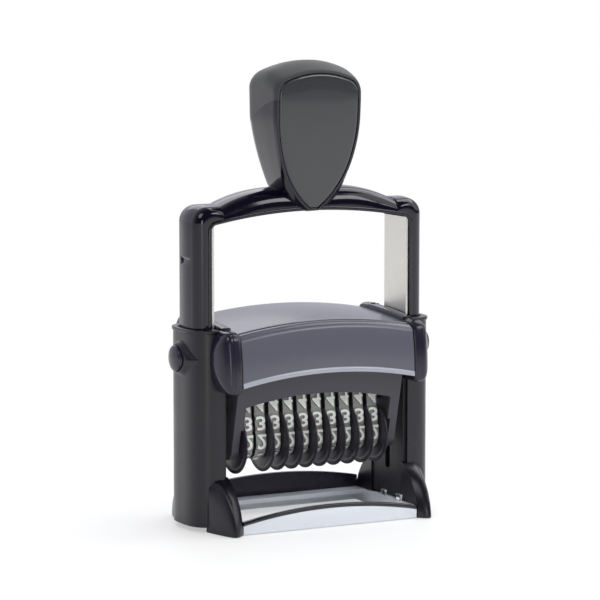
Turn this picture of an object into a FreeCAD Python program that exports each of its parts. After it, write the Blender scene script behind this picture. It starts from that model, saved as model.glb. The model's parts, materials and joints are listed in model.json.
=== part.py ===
import FreeCAD, Part
import math
import os

# Self-inking numbering stamp, ten bands, standing on its base.
# X runs along the row of bands, the front faces -Y, +Z is up, millimetres.
# The origin is at the middle of the footprint, on the resting plane.

Vector = FreeCAD.Vector

# Row of bands and wheels
BAND_COUNT = 10
BAND_WIDTH = 4.45
BAND_THICK = 1.8            # base and raised characters together
CELL_LENGTH = 6.3           # one character with its groove, along the band
CELL_GROOVE = 0.8
PRINT_RUN = 3               # part of the loop that lies over the printing face
GROOVE_DEPTH = 0.7
DISC_THICK = 0.8
DISC_RADIUS = 10.7
KNURL_COUNT = 24
KNURL_DEPTH = 0.45
HUB_RADIUS = 4.3            # to the corners of the six-sided drum
HUB_SIDES = 6
SIDE_GAP = 0.15             # running gap beside a band or disc
PAIR_GAP = 0.65             # between the first two bands, which have no disc between
ROW_CENTRE = -0.3
WHEEL_Y = -2.5
WHEEL_Z = 28.5

# Motion
PIVOT_Z = 46.0              # pivot of the number unit with the handle up
PRINT_REACH = 16.0          # pivot to print face
STROKE = PIVOT_Z - PRINT_REACH
CAM_LEAD = 3.55             # keeps the bend of the cam groove wider than its pin
GROOVE_STEPS = 8            # points along the cam groove, for a half turn
CAM_ARM = STROKE / math.pi - CAM_LEAD
BUTTON_TRAVEL = 1.4

# Number unit frame
ARM_ROW_GAP = 1.42
ARM_THICK = 2.7
PANEL_Y = -16.0
PANEL_THICK = 1.4
PANEL_TOP_Z = 53.3
PANEL_END_Z = 42.1
PANEL_RISE = 3.4
PANEL_LEAN = 13.7           # degrees, the foot of the panel and arms drawn back
GUSSET_END_Z = 34.0
GUSSET_WIDTH = 1.0
LOBE_Z = 27.6
LOBE_RADIUS = 4.3
PLATEN_HALF = 5.5
PLATEN_Y = 2.9              # printing edge, behind the pivot's line with the handle up
PLATEN_TAPER = 1.9
ARM_MARGIN = 1.2            # arm beyond the platen, front and rear
ARM_BACK_Y = 5.9            # rear of the pivot boss
ARM_BOSS = 4.0
ARM_EDGE_Y = 5.18           # rear edge above and below the boss of the pivot
TAIL_SLOPE = -49.0          # degrees, rear edge below the axle
PLATEN_CORNER = 1.0
PLATEN_DEPTH = 9.0

# Shafts and fits
AXLE_RADIUS = 1.5
PIVOT_RADIUS = 1.5
CAM_RADIUS = 1.3
CAM_END_GAP = 0.2
RUN_FIT = 0.05              # radial, for what turns or slides on a shaft
PRESS_FIT = 0.02            # radial, for what is pushed together and stays
SLOT_FIT = 0.12             # each side of a pin in its slot or groove
SOFT_GAP = 0.3              # to soft pieces of another body
OVERRUN = 1.0               # how far cutting shapes pass the faces they cut
FAR = 60.0                  # reach of cutting shapes that only have to clear everything
NEAR = 0.01                 # when edges are picked by their place

# Side housings, counted outward from the row
PLATE_GAP = 2.75
PLATE_THICK = 2.4
PLATE_HALF = 10.8
PLATE_BOTTOM_Z = 5.0
GROOVE_CUT = 1.4
STRAP_GAP = 0.38
STRAP_THICK = 1.0
STRAP_HALF = 7.6
LEG_WIDTH = 6.42
LEG_HALF = 8.3
LEG_CORNER = 4.4
LEG_ROUND = 4.0             # outer edges of the leg, inside the corner of its housing
LEG_GAP = 0.3
COLUMN_WALL = 1.4
COLUMN_LIP = 1.2            # how far the guide plate stands out of the column
COLUMN_HALF = 12.0
COLUMN_CORNER = 7.3
COLUMN_TOP_Z = 69.3
COLUMN_BOTTOM_Z = 1.6
COLUMN_FLOOR = 1.4
COLUMN_EDGE = 0.98          # chamfer round the foot of the column
COLLAR_HEIGHT = 1.3
COLLAR_STEP = 0.4
COLUMN_BACKSET = 1.9        # window's room, inward of the column's front and rear

# Feet
FOOT_STEP = 0.6             # inner face, inward of the guide plate
FOOT_RIDGE_STEP = 3.8
FOOT_WIDTH = 8.1
FOOT_REACH = 22.4
FOOT_TIP = 25.0
FOOT_TOP_Z = 18.4
FOOT_SWELL = 0.72           # how full the toe's profile is, as shares of its reach and height
FOOT_SWELL_HEIGHT = 0.6

# Cover and ink cartridge
COVER_SETBACK = 1.4         # ends of the cover, inward of the guide plates
COVER_WALL = 1.6
COVER_LIP_Y = 21.2
COVER_LIP_Z = 53.5
COVER_MID_Y = 20.9
COVER_MID_Z = 61.5
COVER_CORNER = 3.0          # radius of the bend between side and top
COVER_CORNER_Y = 16.9
COVER_FRONT_Z = 68.0        # centre of the front bend
COVER_REAR_Z = 70.6
COVER_REAR_TURN = (8, 48, 88)  # degrees at the start, middle and end of the rear bend
COVER_FRONT_TURN = (84, 46, 8)
COVER_CROWN = 0.6           # rise of the top above a straight line
COVER_ARCH = 3.3            # fall of the cover from the middle to its ends
ARCH_SPARE = 3.0            # degrees the arch is made past its ends
LIP_HEIGHT = 1.9
LIP_FACE = 1.52             # upright part of the lip
LIP_ROOT = 0.6              # how far the lip is sunk in the wall
LIP_STEP = 0.35
PARTING_GAP = 0.3
PARTING_LEAN = 62.0         # degrees
PARTING_REACH = 8.0
CHEEK_GAP = 0.2
CHEEK_FLARE = 4.0
CHEEK_PROUD = 0.4
CHEEK_LIFT = 1.3            # top edge of the cheeks above the cover's ends
CHEEK_SKIRT = 2.4           # lower edge below the ends of the cover's lip
CHEEK_HEEL = 1.5
CHEEK_BEVEL = 1.8
CHEEK_END_SHARES = (0.5, 0.8)  # proudness and lift at the end of the cover
FLARE_CENTRE_Z = 60.0
FLARE_STEPS = ((0.0, 1.0, 1.0), (0.6, 0.68, 0.86), (1.0, 0.16, 0.5))  # share passed, width, height
PAD_OVERHANG = -0.3         # beyond the row of bands at each end
PAD_HALF_Y = 8.6
PAD_THICK = 2.2
PAD_CORNER = 1.5
TRAY_THICK = 1.4
TRAY_REAR_Y = 13.0
TRAY_FRONT_Y = -15.2
COVER_SIDE_WALL = 1.5
RAIL_WIDTH = 2.0
RAIL_THICK = 1.6
RAIL_GAP = 0.12
RAIL_HALF = 15.0            # rails and side walls, from their middle to their ends

# Base window and rear wall
WINDOW_GAP = 0.3
WINDOW_FRONT_Y = -22.2
WINDOW_REAR_Y = 20.9
WINDOW_WALL = 1.5
WINDOW_TOP_Z = 4.5
WINDOW_BULGE = 1.8
WINDOW_TURN = 2.0           # start of the bulge, inward of the column's front and rear
WINDOW_SIDE = 1.2
OPENING_FRONT_Y = -18.9
OPENING_REAR_Y = 14.6
ARCH_TOP_Z = 7.95
BEAD_HEIGHT = 1.5
BEAD_STEP = 0.3
BEAD_CHAMFER = 0.375
TAB_TOP_Z = 6.7             # upright tabs on the sides of the window
TAB_THICK = 0.9
TAB_LENGTH = 3.6
INNER_TAB_LENGTH = 5.04
TAB_STEP = 0.2              # proud of the window's side
TAB_GAP = 0.15              # to the guide plate
REAR_WALL_Y = 21.2
REAR_WALL_THICK = 1.6
REAR_WALL_END_Z = 8.6
REAR_WALL_TOP_Z = 12.0

# Bow
BOW_INNER_Z = 104.4
BOW_ARCH_Z = 108.3
BOW_TOP_Z = 111.4
BOW_SHOULDER = 6.0
BOW_DIP_STEP = 10.9         # crease between leg and bar, inward of the leg's outer face
SADDLE_HALF = 11.5
SADDLE_Z = 116.3
BAR_RADIUS = 52.0           # fall of the bar from the saddle to the legs
BAR_ROUND = 4.3             # larger than the leg's rounding, so the crease shows all round
BAR_OVERLAP = 1.0           # reach of the bar into the legs
RIM_WIDTH = 1.3             # bead round the opening, on the front and rear
RIM_STEP = 0.3
RIM_CORNER = 1.5
LEG_BOTTOM_Z = 34.0
POCKET_TOP_Z = 80.0
NOTCH_Z = 92.2              # shallow catch in the outer face of each leg
NOTCH_HEIGHT = 2.7
NOTCH_DEPTH = 0.6
NOTCH_HALF = 3.6
NOTCH_FLAT = 0.3            # share of its height that is flat at the bottom

# Grip
GRIP_TOP_Z = 160.0
GRIP_CROWN = 3.4            # rise from the front edge to the middle
GRIP_HALF = 16.9
GRIP_FRONT_HALF = 16.4
GRIP_CORNER = 6.0
GRIP_CROWN_RADIUS = 34.0
GRIP_LEAST_CORNER = 2.0
INSET_SHARES = (0.8, 0.5)   # how much of an inset the lower part and the corner take
GRIP_TIP_HALF = 2.2
GRIP_TIP_Z = 108.3
GRIP_FACE_Y = -13.4
FACE_BEND_DROP = 13.5       # top of the grip to where the face starts to lean
FACE_TIP_Y = -8.9
FACE_BOW = 0.75             # how far the leaning face bulges
FACE_THICK = 2.6
GRIP_REAR_Y = 11.5
GRIP_REAR_ROUND = 6.0
GRIP_REAR_STEPS = ((1.0, 0.5), (0.3, 2.4), (0.0, 6.0))  # share of the rounding left, inset
GRIP_FRONT_FALL = 0.8       # top over the front of the bar, below the highest point
GRIP_BACK_DROP = 2.0        # below the seam, where the rear draws in to the saddle
GRIP_BACK_IN = 1.0
GRIP_BACK_RISE = 2.0
FACE_INSET = 1.2
FACE_GAP = 0.2
SEAM_GAP = 0.15
SEAM_FRONT_DROP = 12.9
SEAM_REAR_DROP = 25.7
SEAM_BULGE = 2.6
SEAM_PAST = 2.0             # the curve runs on past the front and rear
GRIP_FRONT_SIDE = ((GRIP_TIP_HALF, GRIP_TIP_Z), (9.6, 116.4), (14.3, 127.0), (15.7, 133.5), (16.3, 140.0))
GRIP_REAR_SIDE = ((12.6, 116.3), (11.5, 119.3), (14.5, 125.3), (16.35, 130.8), (16.9, 137.0))

# Release buttons
BUTTON_Z = 59.0
BUTTON_RADIUS = 4.45
BUTTON_REACH = 2.6
BUTTON_DOME = 0.8
BUTTON_WALL = 0.9
BUTTON_SPARE = 0.1          # room behind a pressed button
BOSS_RADIUS = 6.2
BOSS_REACH = 1.6
BOSS_SLOPE = 0.5
SPRING_WIRE = 0.7
SPRING_DIAMETER = 4.8
SPRING_TURNS = 6
BUTTON_SPRING_WIRE = 0.4
BUTTON_SPRING_DIAMETER = 4.4
BUTTON_SPRING_TURNS = 2
BUTTON_SEAT_BORE = 1.5
BUTTON_CROWN = 0.6          # thickness left in front of the spring

# Places that follow from the sizes above
BAND_PITCH = BAND_WIDTH + DISC_THICK + 2 * SIDE_GAP
ROW_LENGTH = BAND_COUNT * (BAND_WIDTH + DISC_THICK) + (2 * BAND_COUNT - 2) * SIDE_GAP + PAIR_GAP
ARM_IN = ROW_LENGTH / 2 + ARM_ROW_GAP
ARM_OUT = ARM_IN + ARM_THICK
LEAN = math.radians(PANEL_LEAN)
LOBE_Y = PANEL_Y + (PANEL_TOP_Z - LOBE_Z) * math.tan(LEAN) + LOBE_RADIUS / math.cos(LEAN)
PLATE_IN = ARM_OUT + PLATE_GAP
PLATE_OUT = PLATE_IN + PLATE_THICK
STRAP_IN = PLATE_OUT + STRAP_GAP
LEG_IN = STRAP_IN + STRAP_THICK
LEG_OUT = LEG_IN + LEG_WIDTH
CAVITY_OUT = LEG_OUT + LEG_GAP
BODY_HALF = LEG_HALF - RIM_STEP
BOW_DIP_X = LEG_OUT - BOW_DIP_STEP
COLUMN_OUT = CAVITY_OUT + COLUMN_WALL
COLUMN_IN = PLATE_IN + COLUMN_LIP
COLUMN_FLOOR_Z = COLUMN_BOTTOM_Z + COLUMN_FLOOR
PRINT_Z = PIVOT_Z + PRINT_REACH
BAND_INNER = HUB_RADIUS + SOFT_GAP
PAD_Z = PRINT_Z + SOFT_GAP
GRIP_FRONT_TOP_Z = GRIP_TOP_Z - GRIP_CROWN
FACE_BEND_Z = GRIP_TOP_Z - FACE_BEND_DROP
SEAM_FRONT_Z = GRIP_TOP_Z - SEAM_FRONT_DROP
SEAM_REAR_Z = GRIP_TOP_Z - SEAM_REAR_DROP
TRAY_Z = PAD_Z + PAD_THICK
COVER_HALF = PLATE_IN - COVER_SETBACK
COVER_END = COVER_HALF + CHEEK_GAP
COVER_TOP_Z = (COVER_FRONT_Z + COVER_REAR_Z) / 2 + COVER_CORNER + COVER_CROWN
CHEEK_OUT = PLATE_OUT + CHEEK_FLARE
FOOT_IN = PLATE_IN - FOOT_STEP
FOOT_OUT = FOOT_IN + FOOT_WIDTH
WINDOW_HALF = FOOT_IN - WINDOW_GAP
BUTTON_RIM_X = COLUMN_OUT + BUTTON_REACH
PAD_HALF_X = ROW_LENGTH / 2 + PAD_OVERHANG
BUTTON_SEAT_X = CAVITY_OUT + COLUMN_WALL * 0.5
ARCH_RADIUS = (COVER_HALF ** 2 + COVER_ARCH ** 2) / (2 * COVER_ARCH)
ARCH_AXIS_Z = (COVER_LIP_Z + COVER_TOP_Z) / 2 - ARCH_RADIUS


def side(x):
    """Plane across X: (y, z) points."""
    return lambda y, z: Vector(x, y, z)


def front(y):
    """Plane across Y: (x, z) points."""
    return lambda x, z: Vector(x, y, z)


def plan(z):
    """Level plane: (x, y) points."""
    return lambda x, y: Vector(x, y, z)


def wire(plane, start, *steps):
    """Closed wire; a step is an end point, or a (middle, end) pair for an arc."""
    edges = []
    here = start
    for step in steps + (start,):
        if isinstance(step[0], tuple):
            middle, end = step
            edges.append(Part.Arc(plane(*here), plane(*middle), plane(*end)).toShape())
        elif step != here:
            end = step
            edges.append(Part.LineSegment(plane(*here), plane(*end)).toShape())
        here = end
    return Part.Wire(edges)


def slab(plane, start_at, end_at, start, *steps):
    """Solid between two parallel planes with one outline."""
    face = Part.Face(wire(plane(start_at), start, *steps))
    return face.extrude(plane(end_at)(0, 0) - plane(start_at)(0, 0))


def block(x0, x1, y0, y1, z0, z1):
    return Part.makeBox(x1 - x0, y1 - y0, z1 - z0, Vector(x0, y0, z0))


def rod(x0, x1, y, z, radius):
    """Cylinder along X."""
    return Part.makeCylinder(radius, x1 - x0, Vector(x0, y, z), Vector(1, 0, 0))


def mirrored(shape, axis=Vector(1, 0, 0)):
    return shape.mirror(Vector(0, 0, 0), axis)


def save(name, *solids):
    shape = solids[0] if len(solids) == 1 else Part.makeCompound(list(solids))
    shape.exportStep("parts/" + name + ".step")


def save_pair(name, right):
    """Right piece and its mirror image as two nodes."""
    save("right_" + name, right)
    save("left_" + name, mirrored(right))


# Band path: the hull of the wheel and the two platen corners, seen along X

def loop_circles():
    corner_z = PRINT_Z - BAND_THICK - PLATEN_CORNER
    corner_y = PLATEN_HALF - PLATEN_CORNER
    return [(WHEEL_Y, WHEEL_Z, BAND_INNER),
            (PLATEN_Y + corner_y, corner_z, PLATEN_CORNER),
            (PLATEN_Y - corner_y, corner_z, PLATEN_CORNER)]


def loop_parts():
    """Arcs and lines of the band's inner face in turn, counter-clockwise.

    An arc is ("arc", circle, first angle, last angle), a line ("line", circle, next circle, facing angle),
    and a circle is (y, z, radius).
    """
    circles = loop_circles()
    normals = []
    for (y0, z0, r0), (y1, z1, r1) in zip(circles, circles[1:] + circles[:1]):
        heading = math.atan2(z1 - z0, y1 - y0)
        normals.append(heading - math.acos((r0 - r1) / math.hypot(y1 - y0, z1 - z0)))
    parts = []
    for index, (y, z, r) in enumerate(circles):
        first, last = normals[index - 1], normals[index]
        while last < first:
            last += 2 * math.pi
        parts.append(("arc", (y, z, r), first, last))
        y1, z1, r1 = circles[(index + 1) % len(circles)]
        parts.append(("line", (y, z, r), (y1, z1, r1), normals[index]))
    return parts


def part_length(part, offset):
    if part[0] == "arc":
        return (part[1][2] + offset) * (part[3] - part[2])
    (y0, z0, r0), (y1, z1, r1), angle = part[1:]
    return math.hypot(y1 - y0 + (r1 - r0) * math.cos(angle), z1 - z0 + (r1 - r0) * math.sin(angle))


def loop_place(distance, pitch_offset):
    """Line or arc reached at a distance along the band's middle line, and the share of it passed."""
    parts = loop_parts()
    distance %= sum(part_length(part, pitch_offset) for part in parts)
    for part in parts:
        length = part_length(part, pitch_offset)
        if distance <= length:
            break
        distance -= length
    return part, distance / length


def loop_point(distance, offset, pitch_offset):
    """Point at a distance along the band's middle line, offset outward from its inner face."""
    part, share = loop_place(distance, pitch_offset)
    if part[0] == "arc":
        (y, z, r), first, last = part[1:]
        angle = first + share * (last - first)
    else:
        (y0, z0, r0), (y1, z1, r1), angle = part[1:]
        y, z, r = y0 + share * (y1 - y0), z0 + share * (z1 - z0), r0 + share * (r1 - r0)
    reach = r + offset
    return (y + reach * math.cos(angle), z + reach * math.sin(angle))


def loop_wire(x, offset):
    """Smooth closed wire of lines and arcs round the band path."""
    edges = []
    place = side(x)
    for part in loop_parts():
        if part[0] == "arc":
            (y, z, r), first, last = part[1:]
            reach = r + offset
            ends = [place(y + reach * math.cos(a), z + reach * math.sin(a))
                    for a in (first, (first + last) / 2, last)]
            edges.append(Part.Arc(*ends).toShape())
        else:
            (y0, z0, r0), (y1, z1, r1), angle = part[1:]
            reach0, reach1 = r0 + offset, r1 + offset
            edges.append(Part.LineSegment(
                place(y0 + reach0 * math.cos(angle), z0 + reach0 * math.sin(angle)),
                place(y1 + reach1 * math.cos(angle), z1 + reach1 * math.sin(angle))).toShape())
    return Part.Wire(edges)


def band_start(index):
    first = ROW_CENTRE - ROW_LENGTH / 2 + DISC_THICK + SIDE_GAP
    if index == 0:
        return first
    return first + BAND_WIDTH + PAIR_GAP + (index - 1) * BAND_PITCH


def number_band(index):
    """Rubber loop with one raised cell for each character, bent where it runs round a corner."""
    middle = BAND_THICK / 2
    total = sum(part_length(part, middle) for part in loop_parts())
    cells = round(total / CELL_LENGTH)
    pitch = total / cells
    top_arc = sum(part_length(part, middle) for part in loop_parts()[:PRINT_RUN])
    start = top_arc + part_length(loop_parts()[PRINT_RUN], middle) / 2 - pitch / 2
    place = side(band_start(index))
    corners = []
    for cell in range(cells):
        near = start + cell * pitch
        corners.append(loop_point(near + CELL_GROOVE / 2, BAND_THICK, middle))
        if loop_place(near + pitch / 2, middle)[0][0] == "arc":
            corners.append(loop_point(near + pitch / 2, BAND_THICK, middle))
        corners.append(loop_point(near + pitch - CELL_GROOVE / 2, BAND_THICK, middle))
        corners.append(loop_point(near + pitch, BAND_THICK - GROOVE_DEPTH, middle))
    outer = Part.makePolygon([place(*corner) for corner in corners + corners[:1]])
    face = Part.Face([outer, loop_wire(band_start(index), 0)])
    return face.extrude(Vector(BAND_WIDTH, 0, 0))


def number_wheel(index):
    """Knurled thumb disc with the six-sided drum that drives the band."""
    band_x = band_start(index)
    disc_x = band_x + BAND_WIDTH + SIDE_GAP
    if index == 0:
        disc_x = band_x - SIDE_GAP - DISC_THICK
    place = side(disc_x)
    rim = []
    for tooth in range(KNURL_COUNT):
        for share, radius in ((0, DISC_RADIUS), (0.5, DISC_RADIUS - KNURL_DEPTH)):
            angle = 2 * math.pi * (tooth + share) / KNURL_COUNT
            rim.append(place(WHEEL_Y + radius * math.cos(angle), WHEEL_Z + radius * math.sin(angle)))
    disc = Part.Face(Part.makePolygon(rim + rim[:1])).extrude(Vector(DISC_THICK, 0, 0))
    drum_place = side(min(band_x, disc_x))
    drum_corners = [drum_place(WHEEL_Y + HUB_RADIUS * math.cos(k * 2 * math.pi / HUB_SIDES),
                               WHEEL_Z + HUB_RADIUS * math.sin(k * 2 * math.pi / HUB_SIDES))
                    for k in range(HUB_SIDES + 1)]
    drum_length = BAND_WIDTH + SIDE_GAP + DISC_THICK
    hub = Part.Face(Part.makePolygon(drum_corners)).extrude(Vector(drum_length, 0, 0))
    bore = rod(-ARM_OUT, ARM_OUT, WHEEL_Y, WHEEL_Z, AXLE_RADIUS + RUN_FIT)
    return disc.fuse(hub).cut(bore).removeSplitter()


# Number unit

def unit_arm():
    """Right arm: front edge leaning back, pivot boss behind, small lobe below the axle."""
    tail = math.radians(TAIL_SLOPE)
    front_tangent = (LOBE_Y - LOBE_RADIUS * math.cos(LEAN), LOBE_Z - LOBE_RADIUS * math.sin(LEAN))
    lobe_bottom = (LOBE_Y, LOBE_Z - LOBE_RADIUS)
    rear_tangent = (LOBE_Y + LOBE_RADIUS * math.cos(tail), LOBE_Z + LOBE_RADIUS * math.sin(tail))
    platen_top = PRINT_Z - BAND_THICK - PLATEN_CORNER
    arm = slab(side, ARM_IN, ARM_OUT, (PANEL_Y, PANEL_TOP_Z), front_tangent, (lobe_bottom, rear_tangent),
               (WHEEL_Y + HUB_RADIUS, WHEEL_Z - AXLE_RADIUS), (ARM_EDGE_Y, PIVOT_Z - ARM_BOSS),
               ((ARM_BACK_Y, PIVOT_Z), (ARM_EDGE_Y, PIVOT_Z + ARM_BOSS)),
               (PLATEN_Y + PLATEN_HALF + ARM_MARGIN, platen_top),
               (PLATEN_Y - PLATEN_HALF - ARM_MARGIN, platen_top),
               (PLATEN_Y - PLATEN_HALF - ARM_MARGIN - ARM_BOSS, PANEL_TOP_Z))
    holes = (rod(ARM_IN, ARM_OUT, 0, PIVOT_Z, PIVOT_RADIUS + PRESS_FIT),
             rod(ARM_IN, ARM_OUT, 0, PIVOT_Z - CAM_ARM, CAM_RADIUS + PRESS_FIT),
             rod(ARM_IN, ARM_OUT, WHEEL_Y, WHEEL_Z, AXLE_RADIUS + PRESS_FIT))
    for hole in holes:
        arm = arm.cut(hole)
    return arm


def unit_frame():
    """Arched front panel, leaning back, joining the two arms."""
    gusset = ARM_IN - GUSSET_WIDTH
    face = slab(front, PANEL_Y, 0, (-ARM_OUT, PANEL_TOP_Z), (-ARM_OUT, GUSSET_END_Z),
                (-gusset, GUSSET_END_Z), (-gusset, PANEL_END_Z),
                ((0, PANEL_END_Z + PANEL_RISE), (gusset, PANEL_END_Z)),
                (gusset, GUSSET_END_Z), (ARM_OUT, GUSSET_END_Z), (ARM_OUT, PANEL_TOP_Z))
    foot_y = PANEL_Y + (PANEL_TOP_Z - GUSSET_END_Z) * math.tan(LEAN)
    leaning = slab(side, -ARM_OUT, ARM_OUT, (PANEL_Y, PANEL_TOP_Z), (foot_y, GUSSET_END_Z),
                   (foot_y + PANEL_THICK, GUSSET_END_Z), (PANEL_Y + PANEL_THICK, PANEL_TOP_Z))
    arm = unit_arm()
    return face.common(leaning).fuse([arm, mirrored(arm)]).removeSplitter()


def platen():
    """Bar that the bands run over, with a rounded printing edge and a tapered back."""
    top = PRINT_Z - BAND_THICK - PRESS_FIT
    half = PLATEN_HALF - PRESS_FIT
    low = top - PLATEN_DEPTH
    bend = PLATEN_CORNER * (1 - math.sqrt(0.5))
    front_y, rear_y = PLATEN_Y - half, PLATEN_Y + half
    return slab(side, -ARM_IN, ARM_IN, (front_y, low), (rear_y - PLATEN_TAPER, low),
                (rear_y, top - PLATEN_CORNER), ((rear_y - bend, top - bend), (rear_y - PLATEN_CORNER, top)),
                (front_y + PLATEN_CORNER, top),
                ((front_y + bend, top - bend), (front_y, top - PLATEN_CORNER)))


def wheel_axle():
    return rod(-ARM_OUT, ARM_OUT, WHEEL_Y, WHEEL_Z, AXLE_RADIUS)


def pivot_pin():
    return rod(ARM_IN, LEG_IN - PRESS_FIT, 0, PIVOT_Z, PIVOT_RADIUS)


def cam_pin():
    return rod(ARM_IN, PLATE_IN + GROOVE_CUT - CAM_END_GAP, 0, PIVOT_Z - CAM_ARM, CAM_RADIUS)


# Base

def cam_path(turn):
    """Centre of the cam pin when the number unit has turned by an angle, and its direction there."""
    fall = STROKE / math.pi
    ahead = (CAM_ARM * math.cos(turn), CAM_ARM * math.sin(turn) - fall)
    speed = math.hypot(*ahead)
    centre = (CAM_ARM * math.sin(turn), PIVOT_Z - fall * turn - CAM_ARM * math.cos(turn))
    return centre, (ahead[0] / speed, ahead[1] / speed)


def cam_groove():
    """Blind groove of the cam pin with round ends."""
    half = CAM_RADIUS + SLOT_FIT
    turns = [step * math.pi / GROOVE_STEPS for step in range(GROOVE_STEPS + 1)]

    def beside(turn, along, across):
        centre, ahead = cam_path(turn)
        return (centre[0] + ahead[0] * along - ahead[1] * across,
                centre[1] + ahead[1] * along + ahead[0] * across)

    def wall(stations, across):
        points = [beside(turn, 0, across) for turn in stations]
        return [(points[k + 1], points[k + 2]) for k in range(0, len(points) - 2, 2)]
    return slab(side, PLATE_IN - 1, PLATE_IN + GROOVE_CUT, beside(0, 0, half), *wall(turns, half),
                (beside(math.pi, half, 0), beside(math.pi, 0, -half)), *wall(turns[::-1], -half),
                (beside(0, -half, 0), beside(0, 0, half)))


def guide_plate():
    """Inner wall of the right housing: straight slot for the pivot, cam groove beside it."""
    top = COLUMN_TOP_Z - 1.0
    plate = block(PLATE_IN, PLATE_OUT, -PLATE_HALF, PLATE_HALF, PLATE_BOTTOM_Z, top)
    half = PIVOT_RADIUS + SLOT_FIT
    low = PIVOT_Z - STROKE
    slot = slab(side, PLATE_IN, PLATE_OUT, (half, low), (half, PIVOT_Z),
                ((0, PIVOT_Z + half), (-half, PIVOT_Z)), (-half, low), ((0, low - half), (half, low)))
    return plate.cut(slot).cut(cam_groove())


def column_plan(z, height, offset=0.0):
    """Solid D-shaped column section, its flat side inward."""
    out = COLUMN_OUT + offset
    half = COLUMN_HALF + offset
    corner = COLUMN_CORNER + offset
    bend = corner * (1 - math.sqrt(0.5))
    return slab(plan, z, z + height, (COLUMN_IN, -half), (out - corner, -half),
                ((out - bend, bend - half), (out, corner - half)), (out, half - corner),
                ((out - bend, half - bend), (out - corner, half)), (COLUMN_IN, half))


def leg_plan(z0, z1, inner_x, clearance):
    """Space that a leg fills, with clearance all round."""
    out = LEG_OUT + clearance
    half = LEG_HALF + clearance
    corner = LEG_CORNER + clearance
    bend = corner * (1 - math.sqrt(0.5))
    return slab(plan, z0, z1, (inner_x, -half), (out - corner, -half),
                ((out - bend, bend - half), (out, corner - half)), (out, half - corner),
                ((out - bend, half - bend), (out - corner, half)), (inner_x, half))


def foot_section(x, reach, top_z):
    """Pointed side profile of a foot at one X: heel inside the column, toe forward."""
    heel = COLUMN_HALF - COLUMN_WALL
    swell = (-(heel + (reach - heel) * FOOT_SWELL), top_z * FOOT_SWELL_HEIGHT)
    return wire(side(x), (-heel, 0), (-heel, top_z), (swell, (-reach, 0)))


def foot():
    """Right front foot, lofted from its inner face over the ridge to the column's side."""
    sections = [foot_section(FOOT_IN, FOOT_REACH, FOOT_TOP_Z),
                foot_section(FOOT_IN + FOOT_RIDGE_STEP, FOOT_TIP, FOOT_TOP_Z),
                foot_section(FOOT_OUT, COLUMN_HALF - COLLAR_STEP, FOOT_TOP_Z - 1.0)]
    return Part.makeLoft(sections, True, True)


def boss_cone(radius, reach):
    return Part.makeCone(radius + reach * BOSS_SLOPE, radius, reach + COLUMN_WALL,
                         Vector(COLUMN_OUT - COLUMN_WALL, 0, BUTTON_Z), Vector(1, 0, 0))


def cover_points(grow):
    """Side profile of the cover grown by a distance, from the rear lip over the top to the front lip."""
    radius = COVER_CORNER + grow

    def bend(facing, centre_z, degrees):
        angle = math.radians(degrees)
        return (facing * (COVER_CORNER_Y + radius * math.cos(angle)), centre_z + radius * math.sin(angle))
    lip, middle = (COVER_LIP_Y + grow, COVER_LIP_Z), (COVER_MID_Y + grow, COVER_MID_Z)
    rear = [bend(1, COVER_REAR_Z, degrees) for degrees in COVER_REAR_TURN]
    ahead = [bend(-1, COVER_FRONT_Z, degrees) for degrees in COVER_FRONT_TURN]
    top = (0, COVER_TOP_Z + grow)
    return [lip, middle, *rear, top, *ahead, (-middle[0], middle[1]), (-lip[0], lip[1])]


def column():
    """Right side housing with its collar, feet and button boss."""
    body = column_plan(COLUMN_BOTTOM_Z, COLUMN_TOP_Z - COLUMN_BOTTOM_Z)
    bottom = [edge for edge in body.Edges
              if edge.BoundBox.ZLength < NEAR and edge.BoundBox.ZMax < PIVOT_Z
              and edge.BoundBox.XMax > COLUMN_IN + NEAR]
    body = body.makeChamfer(COLUMN_EDGE, bottom)
    collar = column_plan(COLUMN_TOP_Z - COLLAR_HEIGHT, COLLAR_HEIGHT, COLLAR_STEP)
    toe = foot()
    body = body.fuse([collar, boss_cone(BOSS_RADIUS - BOSS_REACH * BOSS_SLOPE, BOSS_REACH),
                      toe, mirrored(toe, Vector(0, 1, 0))])
    inside_x = COLUMN_IN - COLUMN_LIP - OVERRUN
    over = COLUMN_TOP_Z + OVERRUN
    body = body.cut(leg_plan(COLUMN_FLOOR_Z, over, inside_x, LEG_GAP))
    rebate = block(inside_x, PLATE_OUT, -PLATE_HALF, PLATE_HALF, PLATE_BOTTOM_Z, over)
    room_half = COLUMN_HALF - COLUMN_BACKSET
    window_room = block(FOOT_IN - OVERRUN, COLUMN_IN, -room_half, room_half, -OVERRUN, PLATE_BOTTOM_Z)
    bore = rod(CAVITY_OUT - OVERRUN, BUTTON_RIM_X, 0, BUTTON_Z, BUTTON_RADIUS + RUN_FIT)
    seat = rod(CAVITY_OUT, BUTTON_SEAT_X, 0, BUTTON_Z, BUTTON_RADIUS + COLUMN_WALL / 2)
    seat = seat.cut(rod(CAVITY_OUT, BUTTON_SEAT_X, 0, BUTTON_Z, BUTTON_SEAT_BORE))
    return body.cut(rebate).cut(window_room).cut(bore).fuse(seat).removeSplitter()


def cover_outline(plane):
    """Side profile of the cover at mid length."""
    (lip, middle, bend_start, bend, top_end, top, front_end, front_bend, side_end, front_middle,
     front_lip) = cover_points(0)
    return wire(plane, front_lip, lip, (middle, bend_start), (bend, top_end), (top, front_end),
                (front_bend, side_end), (front_middle, front_lip))


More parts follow.
